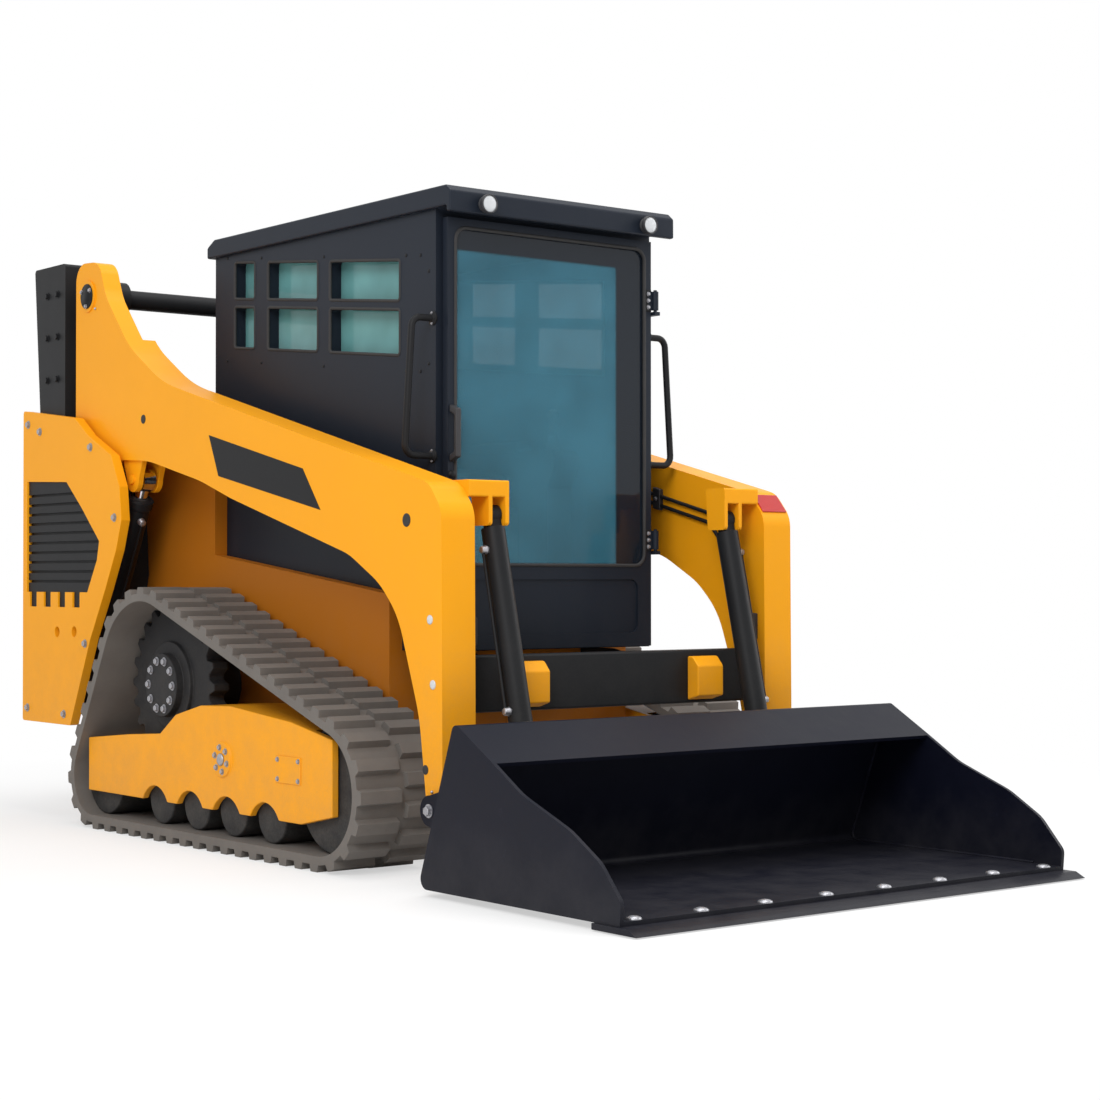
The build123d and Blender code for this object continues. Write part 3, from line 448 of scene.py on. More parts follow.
# ---- what repeats or follows a path ----
class Growth:
    """A Geometry Nodes tree with named sizes, which turns places or paths into a plain mesh."""

    def __init__(self, name, **sizes):
        self.tree = bpy.data.node_groups.new(name, "GeometryNodeTree")
        self.tree.is_modifier = True
        face = self.tree.interface
        for way in ("INPUT", "OUTPUT"):
            face.new_socket("Geometry", in_out=way, socket_type="NodeSocketGeometry")
        finish = face.new_socket("finish", in_out="INPUT", socket_type="NodeSocketMaterial")
        self.sockets = {"finish": finish.identifier}
        for size, default in sizes.items():
            socket = face.new_socket(size, in_out="INPUT", socket_type="NodeSocketFloat")
            socket.default_value = default
            self.sockets[size] = socket.identifier
        self.given = self.tree.nodes.new("NodeGroupInput")

    def node(self, kind, settings=None, inputs=None):
        return add_node(self.tree, kind, settings, inputs).outputs[0]

    def size(self, name):
        return self.given.outputs[name]

    def scaled(self, size, factor, plus=0.0):
        return self.node("ShaderNodeMath", {"operation": "MULTIPLY_ADD"}, {0: size, 1: factor, 2: plus})

    def finished(self, geometry):
        real = self.node("GeometryNodeRealizeInstances", inputs={0: geometry})
        coated = self.node("GeometryNodeSetMaterial", inputs={0: real, "Material": self.size("finish")})
        self.tree.links.new(coated, self.tree.nodes.new("NodeGroupOutput").inputs[0])
        return self

    def standing(self, form):
        """Puts the form at each place, turned to its facing and scaled to its size across."""
        facing, size = (self.node("GeometryNodeInputNamedAttribute", {"data_type": kind}, {"Name": name})
                        for kind, name in (("FLOAT_VECTOR", "facing"), ("FLOAT", "across")))
        turn = self.node("FunctionNodeAlignRotationToVector", {"axis": "Z"}, {"Vector": facing})
        points = self.node("GeometryNodeMeshToPoints", inputs={0: self.given.outputs[0]})
        return self.finished(self.node("GeometryNodeInstanceOnPoints", inputs={
            "Points": points, "Instance": form, "Rotation": turn, "Scale": size}))

    def grown(self, name, mesh, body, slot, finish, **sizes):
        """Runs the tree on a mesh and places the plain result."""
        seed = linked(name + "_places", mesh)
        growth = seed.modifiers.new("growth", "NODES")
        growth.node_group = self.tree
        for size, value in {"finish": finish, **sizes}.items():
            growth[self.sockets[size]] = value
        return placed(name, settled(seed), body, slot, finish)


def upright_bolts():
    """Hexagon bolts with washers, in sizes relative to the size across."""
    tree = Growth("bolts", head=0.36, washer=0.09)
    head_size, washer_size = tree.size("head"), tree.size("washer")
    flat, crown_top, washer_radius = 0.56, 0.46, 0.78
    hexagon = tree.node("GeometryNodeMeshCylinder", inputs={"Vertices": 6, "Radius": flat, "Depth": head_size})
    crown = tree.node("GeometryNodeMeshCone", inputs={
        "Vertices": 6, "Radius Top": crown_top, "Radius Bottom": flat, "Depth": tree.scaled(washer_size, 0.8)})
    disc = tree.node("GeometryNodeMeshCylinder", inputs={
        "Vertices": 18, "Radius": washer_radius, "Depth": washer_size})

    def lifted(form, height):
        offset = tree.node("ShaderNodeCombineXYZ", inputs={"Z": height})
        return tree.node("GeometryNodeTransform", inputs={0: form, "Translation": offset})

    middle, top = (tree.scaled(head_size, share, washer_size) for share in (0.5, 1.0))
    return tree.standing(tree.node("GeometryNodeJoinGeometry", inputs={0: [
        lifted(hexagon, middle), lifted(crown, top), lifted(disc, tree.scaled(washer_size, 0.5))]}))


def domed_studs():
    """Low domes, such as carriage bolts' heads and anti-slip studs."""
    tree = Growth("domes", height=0.45)
    ball = tree.node("GeometryNodeMeshUVSphere", inputs={"Segments": 12, "Rings": 6, "Radius": 0.5})
    squeeze = tree.node("ShaderNodeCombineXYZ", inputs={"X": 1.0, "Y": 1.0, "Z": tree.size("height")})
    dome = tree.node("GeometryNodeTransform", inputs={0: ball, "Scale": squeeze})
    return tree.standing(tree.node("GeometryNodeSetShadeSmooth", inputs={0: dome}))


def drawn_lines():
    """Tubes, gaskets and beads drawn along paths, with their corners bent to a radius."""
    tree = Growth("lines", thickness=0.01, bend=0.02, sides=10.0)
    path = tree.node("GeometryNodeMeshToCurve", inputs={0: tree.given.outputs[0]})
    bent = tree.node("GeometryNodeFilletCurve", {"mode": "POLY"}, {
        "Curve": path, "Radius": tree.size("bend"), "Count": 6, "Limit Radius": True})
    sides = tree.node("FunctionNodeFloatToInt", inputs={0: tree.size("sides")})
    ring = tree.node("GeometryNodeCurvePrimitiveCircle", inputs={
        "Resolution": sides, "Radius": tree.scaled(tree.size("thickness"), 0.5)})
    tube = tree.node("GeometryNodeCurveToMesh", inputs={"Curve": bent, "Profile Curve": ring, "Fill Caps": True})
    return tree.finished(tree.node("GeometryNodeSetShadeSmooth", inputs={0: tube}))


bolt_growth, dome_growth, line_growth = upright_bolts(), domed_studs(), drawn_lines()


def places(name, rows):
    """A mesh of bare points from (place, facing, size across) rows, for bolts and studs."""
    mesh = bpy.data.meshes.new(name)
    points, facings, sizes = zip(*rows)
    mesh.from_pydata(points, [], [])
    mesh.attributes.new("facing", "FLOAT_VECTOR", "POINT").data.foreach_set("vector", sum(facings, ()))
    mesh.attributes.new("across", "FLOAT", "POINT").data.foreach_set("value", sizes)
    return mesh


def paths(name, lines, closed=False):
    """A mesh of bare edges along each line of points."""
    mesh = bpy.data.meshes.new(name)
    corners, edges = [], []
    for line in lines:
        first = len(corners)
        corners += line
        edges += [(first + i, first + i + 1) for i in range(len(line) - 1)]
        if closed:
            edges.append((len(corners) - 1, first))
    mesh.from_pydata(corners, edges, [])
    return mesh


def drawn(name, lines, body, slot, finish, thickness, bend=0.0, closed=False, sides=10.0):
    """Tubes or beads along lines of points, as one piece."""
    return line_growth.grown(name, paths(name, lines, closed), body, slot, finish,
                             thickness=thickness, bend=bend, sides=sides)


def bolted(name, rows, body, slot, finish):
    return bolt_growth.grown(name, places(name, rows), body, slot, finish)


def studded(name, rows, body, slot, finish, height):
    return dome_growth.grown(name, places(name, rows), body, slot, finish, height=height)


def mirrored(rows):
    """Places on one side, with their mirror images on the other."""
    return rows + [((-p[0], *p[1:]), (-f[0], *f[1:]), size) for p, f, size in rows]


def both_hands(lines):
    """Lines on one side, with their mirror images on the other."""
    return lines + [[(-x, y, z) for x, y, z in line] for line in lines]


# ---- the machine's own surfaces ----
# How far CAD pieces' edges are rounded over, in metres; the others keep theirs.
rounded = {
    0.002: "cutting_edge",
    0.003: "side_vents cab_frame bucket_shell coupler front_step lift_barrel_left lift_barrel_right "
           "tilt_barrel_left tilt_barrel_right",
    0.004: "quarter_panels door_frame main_frame drive_sprockets",
    0.005: "towers rear_door track_frame_left track_frame_right coupler_stops door_handle track_left track_right",
    0.006: "arm_left arm_right rear_bumper track_wheels_left track_wheels_right seat_base engine_block",
    0.008: "hood front_cross_tube",
    0.01: "cab_roof consoles",
}
edge_width = {node: width for width, names in rounded.items() for node in names.split()}
for node, made in frame["nodes"].items():
    if node in edge_width:
        eased(node, edge_width[node])
    else:
        dressed(made.data, finish_pair(node)[:1])

# Faces that fittings sit on, and places that two kinds of fitting share, in metres.
cab_side, cab_rear, door_face = 0.44, 0.955, -0.446
arm_out, arm_in = 0.705, 0.585
pane_rear, pane_slope = 0.82, 0.105
rail_y, rail_low, rail_high = -0.398, 1.27, 1.7
hinge_heights = (0.98, 1.78)
arm_pivot, sprocket_centre, frame_boss = (1.43, 1.93), (0.79, 0.52), (0.272, 0.3)
clamp_places = ((1.02, 1.542), (0.6, 1.388), (0.15, 1.272), (-0.3, 1.157))


# ---- cab ----
def sloped(y, z):
    """A height on the cab's side at y, where the rows of panes slope with the arm."""
    return z - (pane_rear - y) * pane_slope


def pane(front, rear, low, high):
    """The corners of a side pane."""
    return [(cab_side - 0.002, y, sloped(y, z)) for y, z in oblong(front, low, rear, high)]


def upright(half, y, low, high):
    """A rectangle that faces forwards or back, as a closed line's corners."""
    return [(x, y, z) for x, z in oblong(-half, low, half, high)]


def cab_seals():
    """Rubber seals round the panes, the door's glass and the doorway."""
    side = [pane(front, rear, low, high) for front, rear in ((-0.215, 0.197), (0.271, 0.594), (0.681, pane_rear))
            for low, high in ((1.707, 1.854), (1.881, 2.012))]
    for name, lines, body, thickness, bend in (
            ("side_pane_seals", both_hands(side), "chassis", 0.011, 0.012),
            ("rear_pane_seal", [upright(0.33, cab_rear - 0.002, 1.53, 1.95)], "chassis", 0.014, 0.03),
            ("door_glass_seal", [upright(0.389, door_face + 0.001, 0.931, 1.985)], "cab_door", 0.012, 0.04),
            ("doorway_seal", [upright(0.411, -0.4148, 0.674, 2.004)], "chassis", 0.005, 0.015)):
        drawn(name, lines, body, *sealing, thickness, bend, closed=True)


def grab_rails():
    """Bent round bars with welded feet, in place of the mitred ones."""
    rail_out_high, rail_out_low = 0.52, 0.548
    bar = [(cab_side, rail_y, rail_high), (rail_out_high, rail_y, rail_high), (rail_out_low, rail_y, rail_low),
           (cab_side, rail_y, rail_low)]
    rails = drawn("grab_rail_bars", both_hands([bar]), "chassis", *blacked, 0.022, 0.032, sides=18.0)
    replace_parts(rails, "grab_rails")
    feet = Form()
    for side in (-1, 1):
        for z in (rail_low, rail_high):
            feet.turned((side * cab_side, rail_y, z), (side, 0, 0), [
                (0, 0), (0.022, 0), (0.022, 0.004), (0.02, 0.005), (0.013, 0.0055), (0.0115, 0.009), (0, 0.009)])
    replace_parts(feet.piece("grab_rail_feet", "chassis", *blacked), "grab_rails")


def work_lamps():
    """Round lamps under the roof's front edge: ribbed housings, rims and domed lenses."""
    housings, lenses = Form(), Form()
    for side in (-1, 1):
        seat = (side * 0.33, -0.515, 2.05)
        housings.turned(seat, (0, -1, 0), [
            (0, 0), (0.018, 0), (0.019, 0.004), (0.025, 0.005), (0.025, 0.007), (0.021, 0.008), (0.021, 0.01),
            (0.027, 0.011), (0.027, 0.013), (0.023, 0.014), (0.023, 0.016), (0.029, 0.018), (0.03, 0.021),
            (0.03, 0.032), (0.029, 0.034), (0.027, 0.034), (0.0262, 0.03), (0, 0.03)], 40)
        lenses.turned(seat, (0, -1, 0), [
            (0, 0.0302), (0.026, 0.0302), (0.026, 0.0312), (0.022, 0.0325), (0.014, 0.0336), (0.006, 0.034),
            (0, 0.034)], 40)
    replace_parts(housings.piece("work_lamp_housings", "chassis", *trim), "work_lamps")
    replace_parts(lenses.piece("work_lamp_lenses", "chassis", "lamp_lens", lamp_lens), "work_lamps")


def door_fittings():
    """Hinge leaves and the lock barrel on the door."""
    leaves = Form()
    inner, outer, tall = 0.392, 0.4165, 0.072
    for z in hinge_heights:
        leaves.plate(oblong(inner, z, outer, z + tall), -0.45, door_face, "y", 0.0012)
    leaves.piece("door_hinge_leaves", "cab_door", *blacked)
    lock = Form().turned((-0.404, door_face, 1.212), (0, -1, 0), [
        (0, 0), (0.013, 0), (0.013, 0.003), (0.011, 0.005), (0.009, 0.006), (0.009, 0.009), (0.0075, 0.01),
        (0, 0.01)])
    lock.piece("door_lock", "cab_door", *blacked)


# ---- operator's place ----
pad_squareness, pad_flatness, pad_pull, seam_reach = 7, 3, 0.05, 0.035


def pad(name, size, centre, lean, crown, seams, pull=pad_pull, cuts=30):
    """A stuffed pad: a rounded block with a crowned face, sides drawn in between its corners, and sewn channels.

    size is (width, length, thickness); lean turns it about x; each seam is (axis, place, depth) on the crowned face.
    """
    form = bmesh.new()
    bmesh.ops.create_cube(form, size=2.0)
    bmesh.ops.subdivide_edges(form, edges=form.edges, cuts=cuts, use_grid_fill=True)
    width, length, thickness = (part / 2 for part in size)
    turn = Matrix.Rotation(radians(lean), 3, "X")
    for point in form.verts:
        a, b, c = point.co
        corner = abs(a) ** pad_squareness + abs(b) ** pad_squareness + abs(c) ** pad_flatness
        shrink = 1.0 / corner ** (1 / pad_squareness)
        a, b, c = a * shrink, b * shrink, c * shrink
        draw_a = 1.0 - pull * (1 - b * b) * (1 - abs(c))
        draw_b = 1.0 - pull * (1 - a * a) * (1 - abs(c))
        swell = crown * (1 - a ** 4) * (1 - b ** 4)
        height = c * thickness + (swell if c > 0 else 0.0) * min(1.0, abs(c) * 1.6)
        if c > 0:
            for axis, place, depth in seams:
                away = (a if axis == "a" else b) - place
                reach = 1.0 - (b if axis == "a" else a) ** 8
                height -= depth * exp(-(away / seam_reach) ** 2) * reach
        point.co = turn @ Vector((a * width * draw_a, b * length * draw_b, height)) + Vector(centre)
    raw = linked(name + "_raw", written(form, name, smooth=True))
    subdivision = raw.modifiers.new("smooth", "SUBSURF")
    subdivision.levels = subdivision.render_levels = 1
    piece = placed(name, settled(raw), "chassis", "seat_vinyl", vinyl)
    return piece


def rim_of(size, centre, lean, steps=40):
    """The closed line round a pad's middle, where its welt is sewn."""
    turn = Matrix.Rotation(radians(lean), 3, "X")
    line = []
    for i in range(steps):
        angle = 2 * pi * i / steps
        a, b = cos(angle), sin(angle)
        reach = 1.0 / (abs(a) ** pad_squareness + abs(b) ** pad_squareness) ** (1 / pad_squareness)
        a, b = a * reach, b * reach
        draw = 1.0 - pad_pull * (1 - min(a * a, b * b))
        line.append(tuple(turn @ Vector((a * size[0] / 2 * draw, b * size[1] / 2 * draw, 0)) + Vector(centre)))
    return line


def operator_seat():
    """Padded cushions with sewn channels and welts on a moulded shell, and the armrests."""
    channels = [("b", place, 0.006) for place in (-0.55, -0.18, 0.18, 0.55)]
    sides = [("a", -0.62, 0.01), ("a", 0.62, 0.01)]
    cushion = ((0.45, 0.47, 0.085), (0, 0.262, 1.208), 2.0)
    back = ((0.43, 0.52, 0.08), (0, 0.545, 1.505), 84.5)
    for name, place, crown in (("seat_cushion", cushion, 0.022), ("seat_back_cushion", back, 0.02)):
        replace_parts(pad(name, *place, crown, channels + sides), "seat")
    welts = [rim_of(*cushion), rim_of(*back)]
    drawn("seat_welts", welts, "chassis", "seat_vinyl", cloth, 0.008, closed=True)
    shell = Form()
    shell.block((-0.205, 0.03, 1.131), (0.205, 0.5, 1.168), 0.01, 3)
    shell.plate([(0.575, 1.15), (0.6, 1.15), (0.634, 1.77), (0.6, 1.78)], -0.195, 0.195, "x", 0.008, 3)
    shell.plate([(0.47, 1.135), (0.6, 1.135), (0.602, 1.21), (0.56, 1.19)], -0.15, 0.15, "x", 0.008, 3)
    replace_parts(shell.piece("seat_shell", "chassis", *trim), "seat")
    for side, name in ((-1, "right"), (1, "left")):
        pad(name + "_armrest", (0.085, 0.3, 0.04), (side * 0.334, 0.28, 1.349), 0, 0.006, [], 0.02, 10)


def controls():
    """Rubber boots and grips on the two levers, foot pedals, and a studded mat."""
    boots, grips, keys = Form(), Form(), Form()
    for side in (-1, 1):
        lever = (side * 0.334, -0.02, 1.325)
        boot, fold_height = [(0, 0.0), (0.038, 0.0)], 0.01
        for fold in range(5):
            boot += [(0.037 - fold * 0.0035, 0.006 + fold * fold_height),
                     (0.029 - fold * 0.0025, 0.011 + fold * fold_height)]
        boots.turned(lever, (0, 0, 1), boot + [(0.0175, 0.056), (0, 0.056)], 24)
        grips.turned(lever, (0, 0, 1), [
            (0, 0.06), (0.017, 0.06), (0.0185, 0.072), (0.0175, 0.09), (0.0195, 0.105), (0.024, 0.117),
            (0.025, 0.127), (0.0225, 0.137), (0.015, 0.144), (0, 0.146)], 24)
        for x, y in ((-0.009, -0.006), (0.009, -0.006), (0, 0.008)):
            keys.turned((lever[0] + x, lever[1] + y, lever[2] + 0.14), (0, 0, 1),
                        [(0, 0), (0.005, 0), (0.005, 0.006), (0.004, 0.008), (0, 0.008)], 12)
    boots.piece("lever_boots", "chassis", *sealing)
    grips.piece("lever_grips", "chassis", *trim)
    keys.piece("lever_keys", "chassis", "frame_black", zinc_plate)
    pedals = Form()
    for side in (-1, 1):
        pedals.wall([(-0.335, 0.7), (-0.327, 0.692), (-0.237, 0.782), (-0.245, 0.79)], side, 0.12, 0.215, 0.002)
        pedals.wall([(-0.3, 0.677), (-0.27, 0.677), (-0.27, 0.742), (-0.285, 0.73)], side, 0.15, 0.185, 0.002)
    pedals.block((-0.375, -0.385, 0.6762), (0.375, -0.015, 0.6815), 0.002)
    pedals.piece("pedals_and_mat", "chassis", *sealing)
    studs = [((x * 0.036, -0.365 + y * 0.037, 0.6815), (0, 0, 1), 0.014) for x in range(-10, 11) for y in range(10)]
    studded("mat_studs", studs, "chassis", *sealing, 0.35)


# ---- arms and cylinders ----
def along_cylinder(base, pin):
    """Unit directions along a cylinder and across it, in the side view, and its length."""
    y, z = pin[0] - base[0], pin[1] - base[1]
    length = (y * y + z * z) ** 0.5
    return (y / length, z / length), (z / length, -y / length), length


def cylinder_fittings():
    """Gland nuts, dust seals, ports and steel lines on the four cylinders' barrels."""
    # Each row has the pins' x and (y, z) places, the barrel's and rod's radii, and the length of bare rod.
    for kind, x, base, pin, radius, rod, shown in (
            ("lift", 0.645, (1.56, 0.42), (1.1, 1.242), 0.045, 0.024, 0.075),
            ("tilt", 0.475, (-0.745, 1.08), (-0.93, 0.3), 0.036, 0.018, 0.135)):
        run, side_way, length = along_cylinder(base, pin)
        lift = kind == "lift"
        if lift and side_way[0] > 0:
            side_way = (-side_way[0], -side_way[1])
        axis = (0, *run)
        for side, hand in ((-1, "right"), (1, "left")):
            body = f"{kind}_barrel_{hand}"

            def at(distance, off=0.0):
                """A point along the axis, or off it on the side where the ports are."""
                over, out = (off, 0.0) if lift else (0.0, off)
                return (side * (x + out), base[0] + run[0] * distance + side_way[0] * over,
                        base[1] + run[1] * distance + side_way[1] * over)

            end = length - shown
            glands = Form().turned(at(end - 0.034), axis, [
                (radius - 0.002, 0), (radius + 0.004, 0.002), (radius + 0.004, 0.026), (radius + 0.001, 0.03),
                (radius - 0.006, 0.0345), (rod + 0.008, 0.036), (rod + 0.0015, 0.037), (rod + 0.0015, 0.02),
                (radius - 0.01, 0.012), (radius - 0.002, 0)], 36)
            glands.piece(body + "_gland", body, "frame_black", gear_paint)
            seal = Form().turned(at(end + 0.002), axis, [
                (rod + 0.0008, 0), (rod + 0.007, 0), (rod + 0.006, 0.003), (rod + 0.0025, 0.005),
                (rod + 0.0008, 0.005), (rod + 0.0008, 0)], 30)
            seal.piece(body + "_wiper", body, *sealing)
            spots = (0.13 if lift else 0.11, end - 0.07)
            way = (0, *side_way) if lift else (side, 0, 0)
            line, starts = ([at(spot, radius + off) for spot in spots] for off in (0.013, -0.004))
            ports = Form()
            for start in starts:
                ports.turned(start, way, [(0, 0), (0.014, 0), (0.014, 0.009), (0.012, 0.011), (0.012, 0.022),
                                          (0.009, 0.024), (0, 0.024)], 20 if lift else 6)
            ports.piece(body + "_ports", body, *zinced)
            drawn(body + "_line", [line], body, *blacked, 0.009, sides=12.0)


def arm_lines():
    """Two steel lines inside each arm, from the pivot to the coupler, held by clamps."""
    line_x, line_starts = 0.576, ((1.205, 1.64), (1.195, 1.605))
    upper, lower = ([(line_x, y, z) for y, z in (start, *bends)] for start, bends in zip(line_starts, (
        ((0.85, 1.468), (-0.575, 1.103), (-0.69, 0.985), (-0.752, 0.76)),
        ((0.845, 1.436), (-0.56, 1.075), (-0.662, 0.965), (-0.722, 0.74)))))
    drawn("arm_steel_lines", both_hands([upper, lower]), "arms", *blacked, 0.013, 0.06, sides=12.0)
    clamps, couplers = Form(), Form()
    for side in (-1, 1):
        for y, z in clamp_places:
            clamps.wall([(y - 0.018, z - 0.036), (y + 0.018, z - 0.027), (y + 0.018, z + 0.046),
                         (y - 0.018, z + 0.037)], side, 0.567, 0.5855, 0.003)
        clamps.wall(oblong(-0.785, 0.69, -0.7, 0.775), side, 0.552, 0.5855, 0.004)
        for y in (-0.764, -0.722):
            couplers.turned((side * 0.5685, y, 0.691), (0, 0, -1), [
                (0, 0), (0.015, 0), (0.015, 0.006), (0.012, 0.008), (0.012, 0.024), (0.0145, 0.026), (0.0145, 0.04),
                (0.01, 0.043), (0, 0.043)], 20)
        for y, z in line_starts:
            couplers.turned((side * line_x, y + 0.004, z + 0.002), (0, 0.9, 0.43), [
                (0, -0.022), (0.012, -0.022), (0.012, 0.004), (0.008, 0.006), (0, 0.006)], 6, False)
    clamps.piece("arm_line_clamps", "arms", *trim)
    couplers.piece("arm_couplers", "arms", *zinced)


def arm_details():
    """Pivot caps, plugs, reflectors, a bare plate each side, and the cross tube's weld beads."""
    caps, plugs, pale, red, plates = Form(), Form(), Form(), Form(), Form()
    for side in (-1, 1):
        caps.turned((side * 0.71, *arm_pivot), (side, 0, 0), [
            (0, 0), (0.046, 0), (0.046, 0.004), (0.043, 0.006), (0.03, 0.007), (0.028, 0.01), (0, 0.01)], 40)
        for y, z, size in ((-0.637, 1.061, 0.02), (1.0, 1.452, 0.016), (-0.735, 0.33, 0.014)):
            plugs.turned((side * (arm_out - 0.001), y, z), (side, 0, 0), [
                (0, 0), (size, 0), (size, 0.0025), (size - 0.003, 0.004), (size - 0.007, 0.0035), (0, 0.003)], 28)
        for y, z in ((-0.757, 0.768), (-0.772, 0.579)):
            pale.turned((side * (arm_out - 0.001), y, z), (side, 0, 0), [
                (0, 0), (0.014, 0), (0.014, 0.003), (0.011, 0.0045), (0, 0.005)], 28)
        plates.wall([(0.47, 1.231), (-0.165, 1.102), (-0.06, 1.236), (0.535, 1.372)], side,
                    arm_out - 0.001, arm_out + 0.0015, 0.0008, 1)
    red.plate([(-0.752, 1.16), (-0.8, 1.104), (-0.804, 1.108), (-0.756, 1.164)], 0.592, 0.698, "x", 0.002)
    caps.piece("arm_pivot_caps", "arms", *blacked)
    plugs.piece("arm_plugs", "arms", *sealing)
    pale.piece("arm_reflectors", "arms", "lamp_lens", lamp_lens)
    red.piece("arm_red_reflectors", "arms", "lamp_red", red_lens)
    plates.piece("arm_bare_plates", "arms", *blacked)
    tube = [[(arm_in - 0.001, y, z) for y, z in oblong(-0.758, 0.49, -0.7, 0.66)]]
    drawn("cross_tube_welds", both_hands(tube), "arms", "body_yellow", painted_weld, 0.01, 0.008, closed=True)


# ---- body panels ----
def rear_fittings():
    """Rear lamp bezels, the rear door's latch, the hood's ribs and handle, and the track frames' covers and caps."""
    bezel = [[(0.64, 1.833, 1.7), (0.7, 1.833, 1.7), (0.7, 1.8471, 1.86), (0.64, 1.8471, 1.86)]]
    drawn("rear_lamp_bezels", both_hands(bezel), "chassis", *sealing, 0.007, 0.008, closed=True)
    latch = Form()
    latch.plate(oblong(-0.452, 1.262, -0.392, 1.362), 1.8435, 1.8475, "y", 0.002)
    latch.plate(oblong(-0.44, 1.275, -0.404, 1.345), 1.847, 1.856, "y", 0.004, 3)
    latch.piece("rear_door_latch", "rear_door", *trim)
    surround = [upright(0.384, 1.845, 0.696, 1.254)]
    drawn("grille_surround", surround, "rear_door", *blacked, 0.012, 0.01, closed=True)
    ribs = [[(-0.3, 1.14 + 0.045 * i, 1.5105), (0.3, 1.14 + 0.045 * i, 1.5105)] for i in range(11)]
    drawn("hood_ribs", ribs, "hood", *blacked, 0.014)
    handle = [[(-0.08, 1.73, 1.508), (-0.08, 1.73, 1.536), (0.08, 1.73, 1.536), (0.08, 1.73, 1.508)]]
    drawn("hood_handle", handle, "hood", *trim, 0.014, 0.012, sides=14.0)
    covers, caps = Form(), Form()
    for side in (-1, 1):
        covers.wall(oblong(-0.205, 0.25, -0.06, 0.335), side, 0.799, 0.8035)
        caps.turned((side * 0.807, *frame_boss), (side, 0, 0), [
            (0, 0), (0.02, 0), (0.02, 0.005), (0.016, 0.008), (0.006, 0.009), (0, 0.009)], 28)
    covers.piece("tensioner_covers", "chassis", "body_yellow", yellow)
    caps.piece("frame_boss_caps", "chassis", *zinced)


def weld_beads():
    """Beads along the bucket's inside corners and behind the cutting edge."""
    inside = [[(0.852, -1.7, 0.0335), (0.852, -0.944, 0.0335), (0.852, -1.1025, 0.476), (0.852, -1.262, 0.385)]]
    drawn("bucket_welds", both_hands(inside), "bucket", "bucket_black", bucket_edge, 0.01, 0.02)
    seam = [[(-0.845, -1.702, 0.0215), (0.845, -1.702, 0.0215)]]
    drawn("cutting_edge_weld", seam, "bucket", "bucket_black", bucket_edge, 0.009)


# ---- fasteners ----
def ring(centre, radius, count, x, size, start=0.0):
    """Bolt places on a circle that faces the machine's left."""
    turns = [start + 2 * pi * i / count for i in range(count)]
    return [((x, centre[0] + radius * cos(t), centre[1] + radius * sin(t)), (1, 0, 0), size) for t in turns]


def fasteners():
    """Every bolt, stud, screw and nipple, from (place, facing, size across) rows."""
    left, back, up, front = (1, 0, 0), (0, 1, 0), (0, 0, 1), (0, -1, 0)
    panel = [((0.755, y, z), left, 0.02) for y, z in (
        (1.83, 1.475), (1.729, 1.443), (1.31, 1.365), (1.122, 1.105), (1.83, 0.395), (1.52, 0.385),
        (1.35, 0.65))]
    tower = [((0.72, y, z), left, 0.02) for y in (1.655, 1.74) for z in (1.64, 1.8, 1.96)]
    drive = ring(sprocket_centre, 0.085, 10, 0.748, 0.02)
    boss = ring(frame_boss, 0.04, 6, 0.808, 0.014, 0.3)
    cover = [((0.8035, y, z), left, 0.011) for y in (-0.193, -0.072) for z in (0.262, 0.323)]
    feet = [((0.4455, rail_y, z + dz), left, 0.006) for z in (rail_low, rail_high) for dz in (-0.0165, 0.0165)]
    bumper = [((x, 1.862, 0.448 + dz), back, 0.026) for x in (-0.2, 0.2) for dz in (-0.032, 0.032)]
    hinges = [((0.404, -0.45, z + dz), front, 0.01) for z in hinge_heights for dz in (0.014, 0.036, 0.058)]
    grille = [((x, 1.844, z), back, 0.013) for x in (-0.405, 0.405) for z in (0.68, 0.83, 0.975, 1.12, 1.265)]
    lid = [((x, y, 1.512), up, 0.014) for x in (-0.445, 0.445) for y in (1.08, 1.3, 1.52, 1.74)]
    caps = ring(arm_pivot, 0.037, 3, 0.716, 0.012, 0.5)
    clamp = [((-0.567, y, z + 0.005), left, 0.01) for y, z in clamp_places]
    pins = [((0.725, -0.78, 0.215), left, 0.026)]
    for body, rows in (("chassis", mirrored(panel + drive + boss + cover + feet) + bumper), ("cab_door", hinges),
                       ("rear_door", grille), ("hood", lid), ("arms", mirrored(caps + clamp)),
                       ("bucket", mirrored(pins))):
        bolted(body + "_bolts", rows, body, *zinced)
    bolted("tower_bolts", mirrored(tower), "chassis", *blacked)
    edge_half, gaps = 0.8, 7
    edge = [((-edge_half + i * 2 * edge_half / gaps, -1.778, 0.032), up, 0.044) for i in range(gaps + 1)]
    studded("cutting_edge_bolts", edge, "bucket", *zinced, 0.42)
    tread = [((x * 0.028, -0.505 + y * 0.027, 0.632), up, 0.012) for x in range(-10, 11) for y in range(4)]
    studded("step_studs", tread, "chassis", *blacked, 0.5)
    side = [((cab_side, y, sloped(y, z)), left, 0.012) for y in (-0.33, -0.25, 0.234, 0.637, 0.87)
            for z in (1.66, 2.026)]
    side += [((cab_side, -0.375, z), left, 0.012) for z in (0.8, 1.05, 1.56, 1.85)]
    roof = [((x, y, 2.105), up, 0.018) for x in (-0.4, 0.4) for y in (-0.44, 0.0, 0.45, 0.88)]
    studded("cab_screws", mirrored(side) + roof, "chassis", "cab_dark", black, 0.45)
    nipples = [((arm_out, y, z), left, 0.01) for y, z in ((1.372, 1.88), (-0.77, 0.268))]
    studded("grease_nipples", mirrored(nipples), "arms", *zinced, 1.4)


cab_seals()
grab_rails()
work_lamps()
door_fittings()
operator_seat()
controls()
cylinder_fittings()
arm_lines()
arm_details()
rear_fittings()
weld_beads()
fasteners()


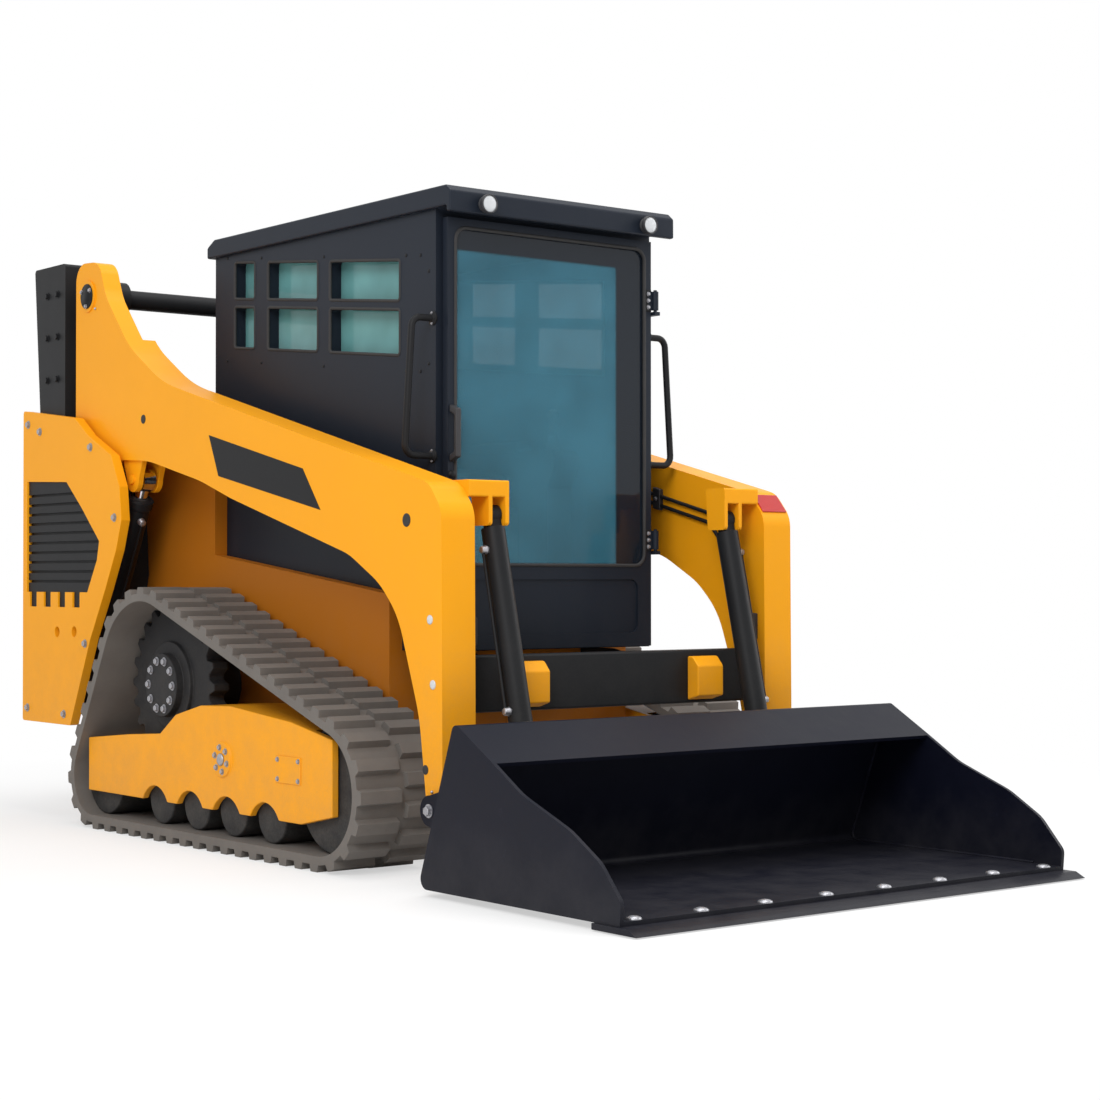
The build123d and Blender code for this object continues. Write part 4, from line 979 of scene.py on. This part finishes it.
# ---- stage ----
def studio():
    """Pale floor, pale surround, and soft lamps at a plain level."""
    scene = bpy.context.scene
    scene.view_settings.view_transform = "Standard"
    floor_radius, floor_drop = 60.0, 0.001
    form = bmesh.new()
    bmesh.ops.create_circle(form, cap_ends=True, segments=96, radius=floor_radius)
    floor = linked("floor", written(form, "floor"))
    floor.location.z = -floor_drop
    pale = Finish("pale floor")
    grain = pale.noise(2.0, 3)
    matte = pale.node("ShaderNodeBsdfDiffuse", inputs={
        "Color": pale.blend(grain, (0.88, 0.88, 0.88), (0.92, 0.92, 0.92))})
    lit = pale.node("ShaderNodeEmission", inputs={"Color": (1, 1, 1, 1), "Strength": 1.0})
    seen = pale.node("ShaderNodeLightPath", output="Is Camera Ray")
    reach = pale.node("ShaderNodeVectorMath", {"operation": "LENGTH"}, {0: pale.place}, output="Value")
    white_from, white_over, least_white = 1.9, 2.2, 0.55
    away = ((reach - white_from) / white_over).limited()
    mixed = pale.node("ShaderNodeMixShader", inputs={
        0: seen * (away * (1.0 - least_white) + least_white), 1: matte, 2: lit})
    pale.tree.links.new(mixed.socket, pale.output.inputs["Surface"])
    floor.data.materials.append(pale.material)

    world = bpy.data.worlds.new("surround")
    scene.world = world
    world.use_nodes = True
    tree, dim, full = world.node_tree, 0.6, 1.0
    tree.nodes.clear()
    path = add_node(tree, "ShaderNodeLightPath")
    shown_white = path.outputs["Is Camera Ray"]
    for ray in ("Is Transmission Ray", "Is Glossy Ray"):
        shown_white = add_node(tree, "ShaderNodeMath", {"operation": "ADD", "use_clamp": True},
                               {0: shown_white, 1: path.outputs[ray]}).outputs[0]
    strength = add_node(tree, "ShaderNodeMapRange", inputs={"Value": shown_white, "To Min": dim, "To Max": full})
    background = add_node(tree, "ShaderNodeBackground", inputs={
        "Color": (1, 1, 1, 1), "Strength": strength.outputs[0]})
    add_node(tree, "ShaderNodeOutputWorld", inputs={"Surface": background.outputs[0]})

    for name, place, aim, size, power in (
            ("key", (-6.5, -5.0, 6.0), (0, 0, 0.9), 4.5, 400),
            ("top", (0.5, -1.0, 7.5), (0, 0, 1.0), 5.0, 240),
            ("fill", (6.5, -2.2, 3.6), (0, -0.5, 0.8), 4.0, 120)):
        lamp = bpy.data.lights.new(name, "AREA")
        lamp.shape, lamp.size, lamp.energy = "DISK", size, power
        holder = linked(name, lamp)
        holder.location = place
        holder.rotation_euler = (Vector(aim) - Vector(place)).to_track_quat("-Z", "Y").to_euler()


def camera():
    """The view of the machine's right-hand side and front."""
    stand, bearing, pitch = (-4.401, -5.983, 0.891), radians(38.355), radians(0.719)
    ahead = Vector((sin(bearing) * cos(pitch), cos(bearing) * cos(pitch), sin(pitch)))
    right = Vector((cos(bearing), -sin(bearing), 0))
    turn = Matrix((right, right.cross(ahead), -ahead)).transposed()
    data = bpy.data.cameras.new("camera")
    data.lens, data.sensor_width, data.shift_x = 71.82, 36.0, 0.00145
    holder = linked("camera", data)
    holder.matrix_world = Matrix.Translation(stand) @ turn.to_4x4()
    bpy.context.scene.camera = holder


studio()
camera()
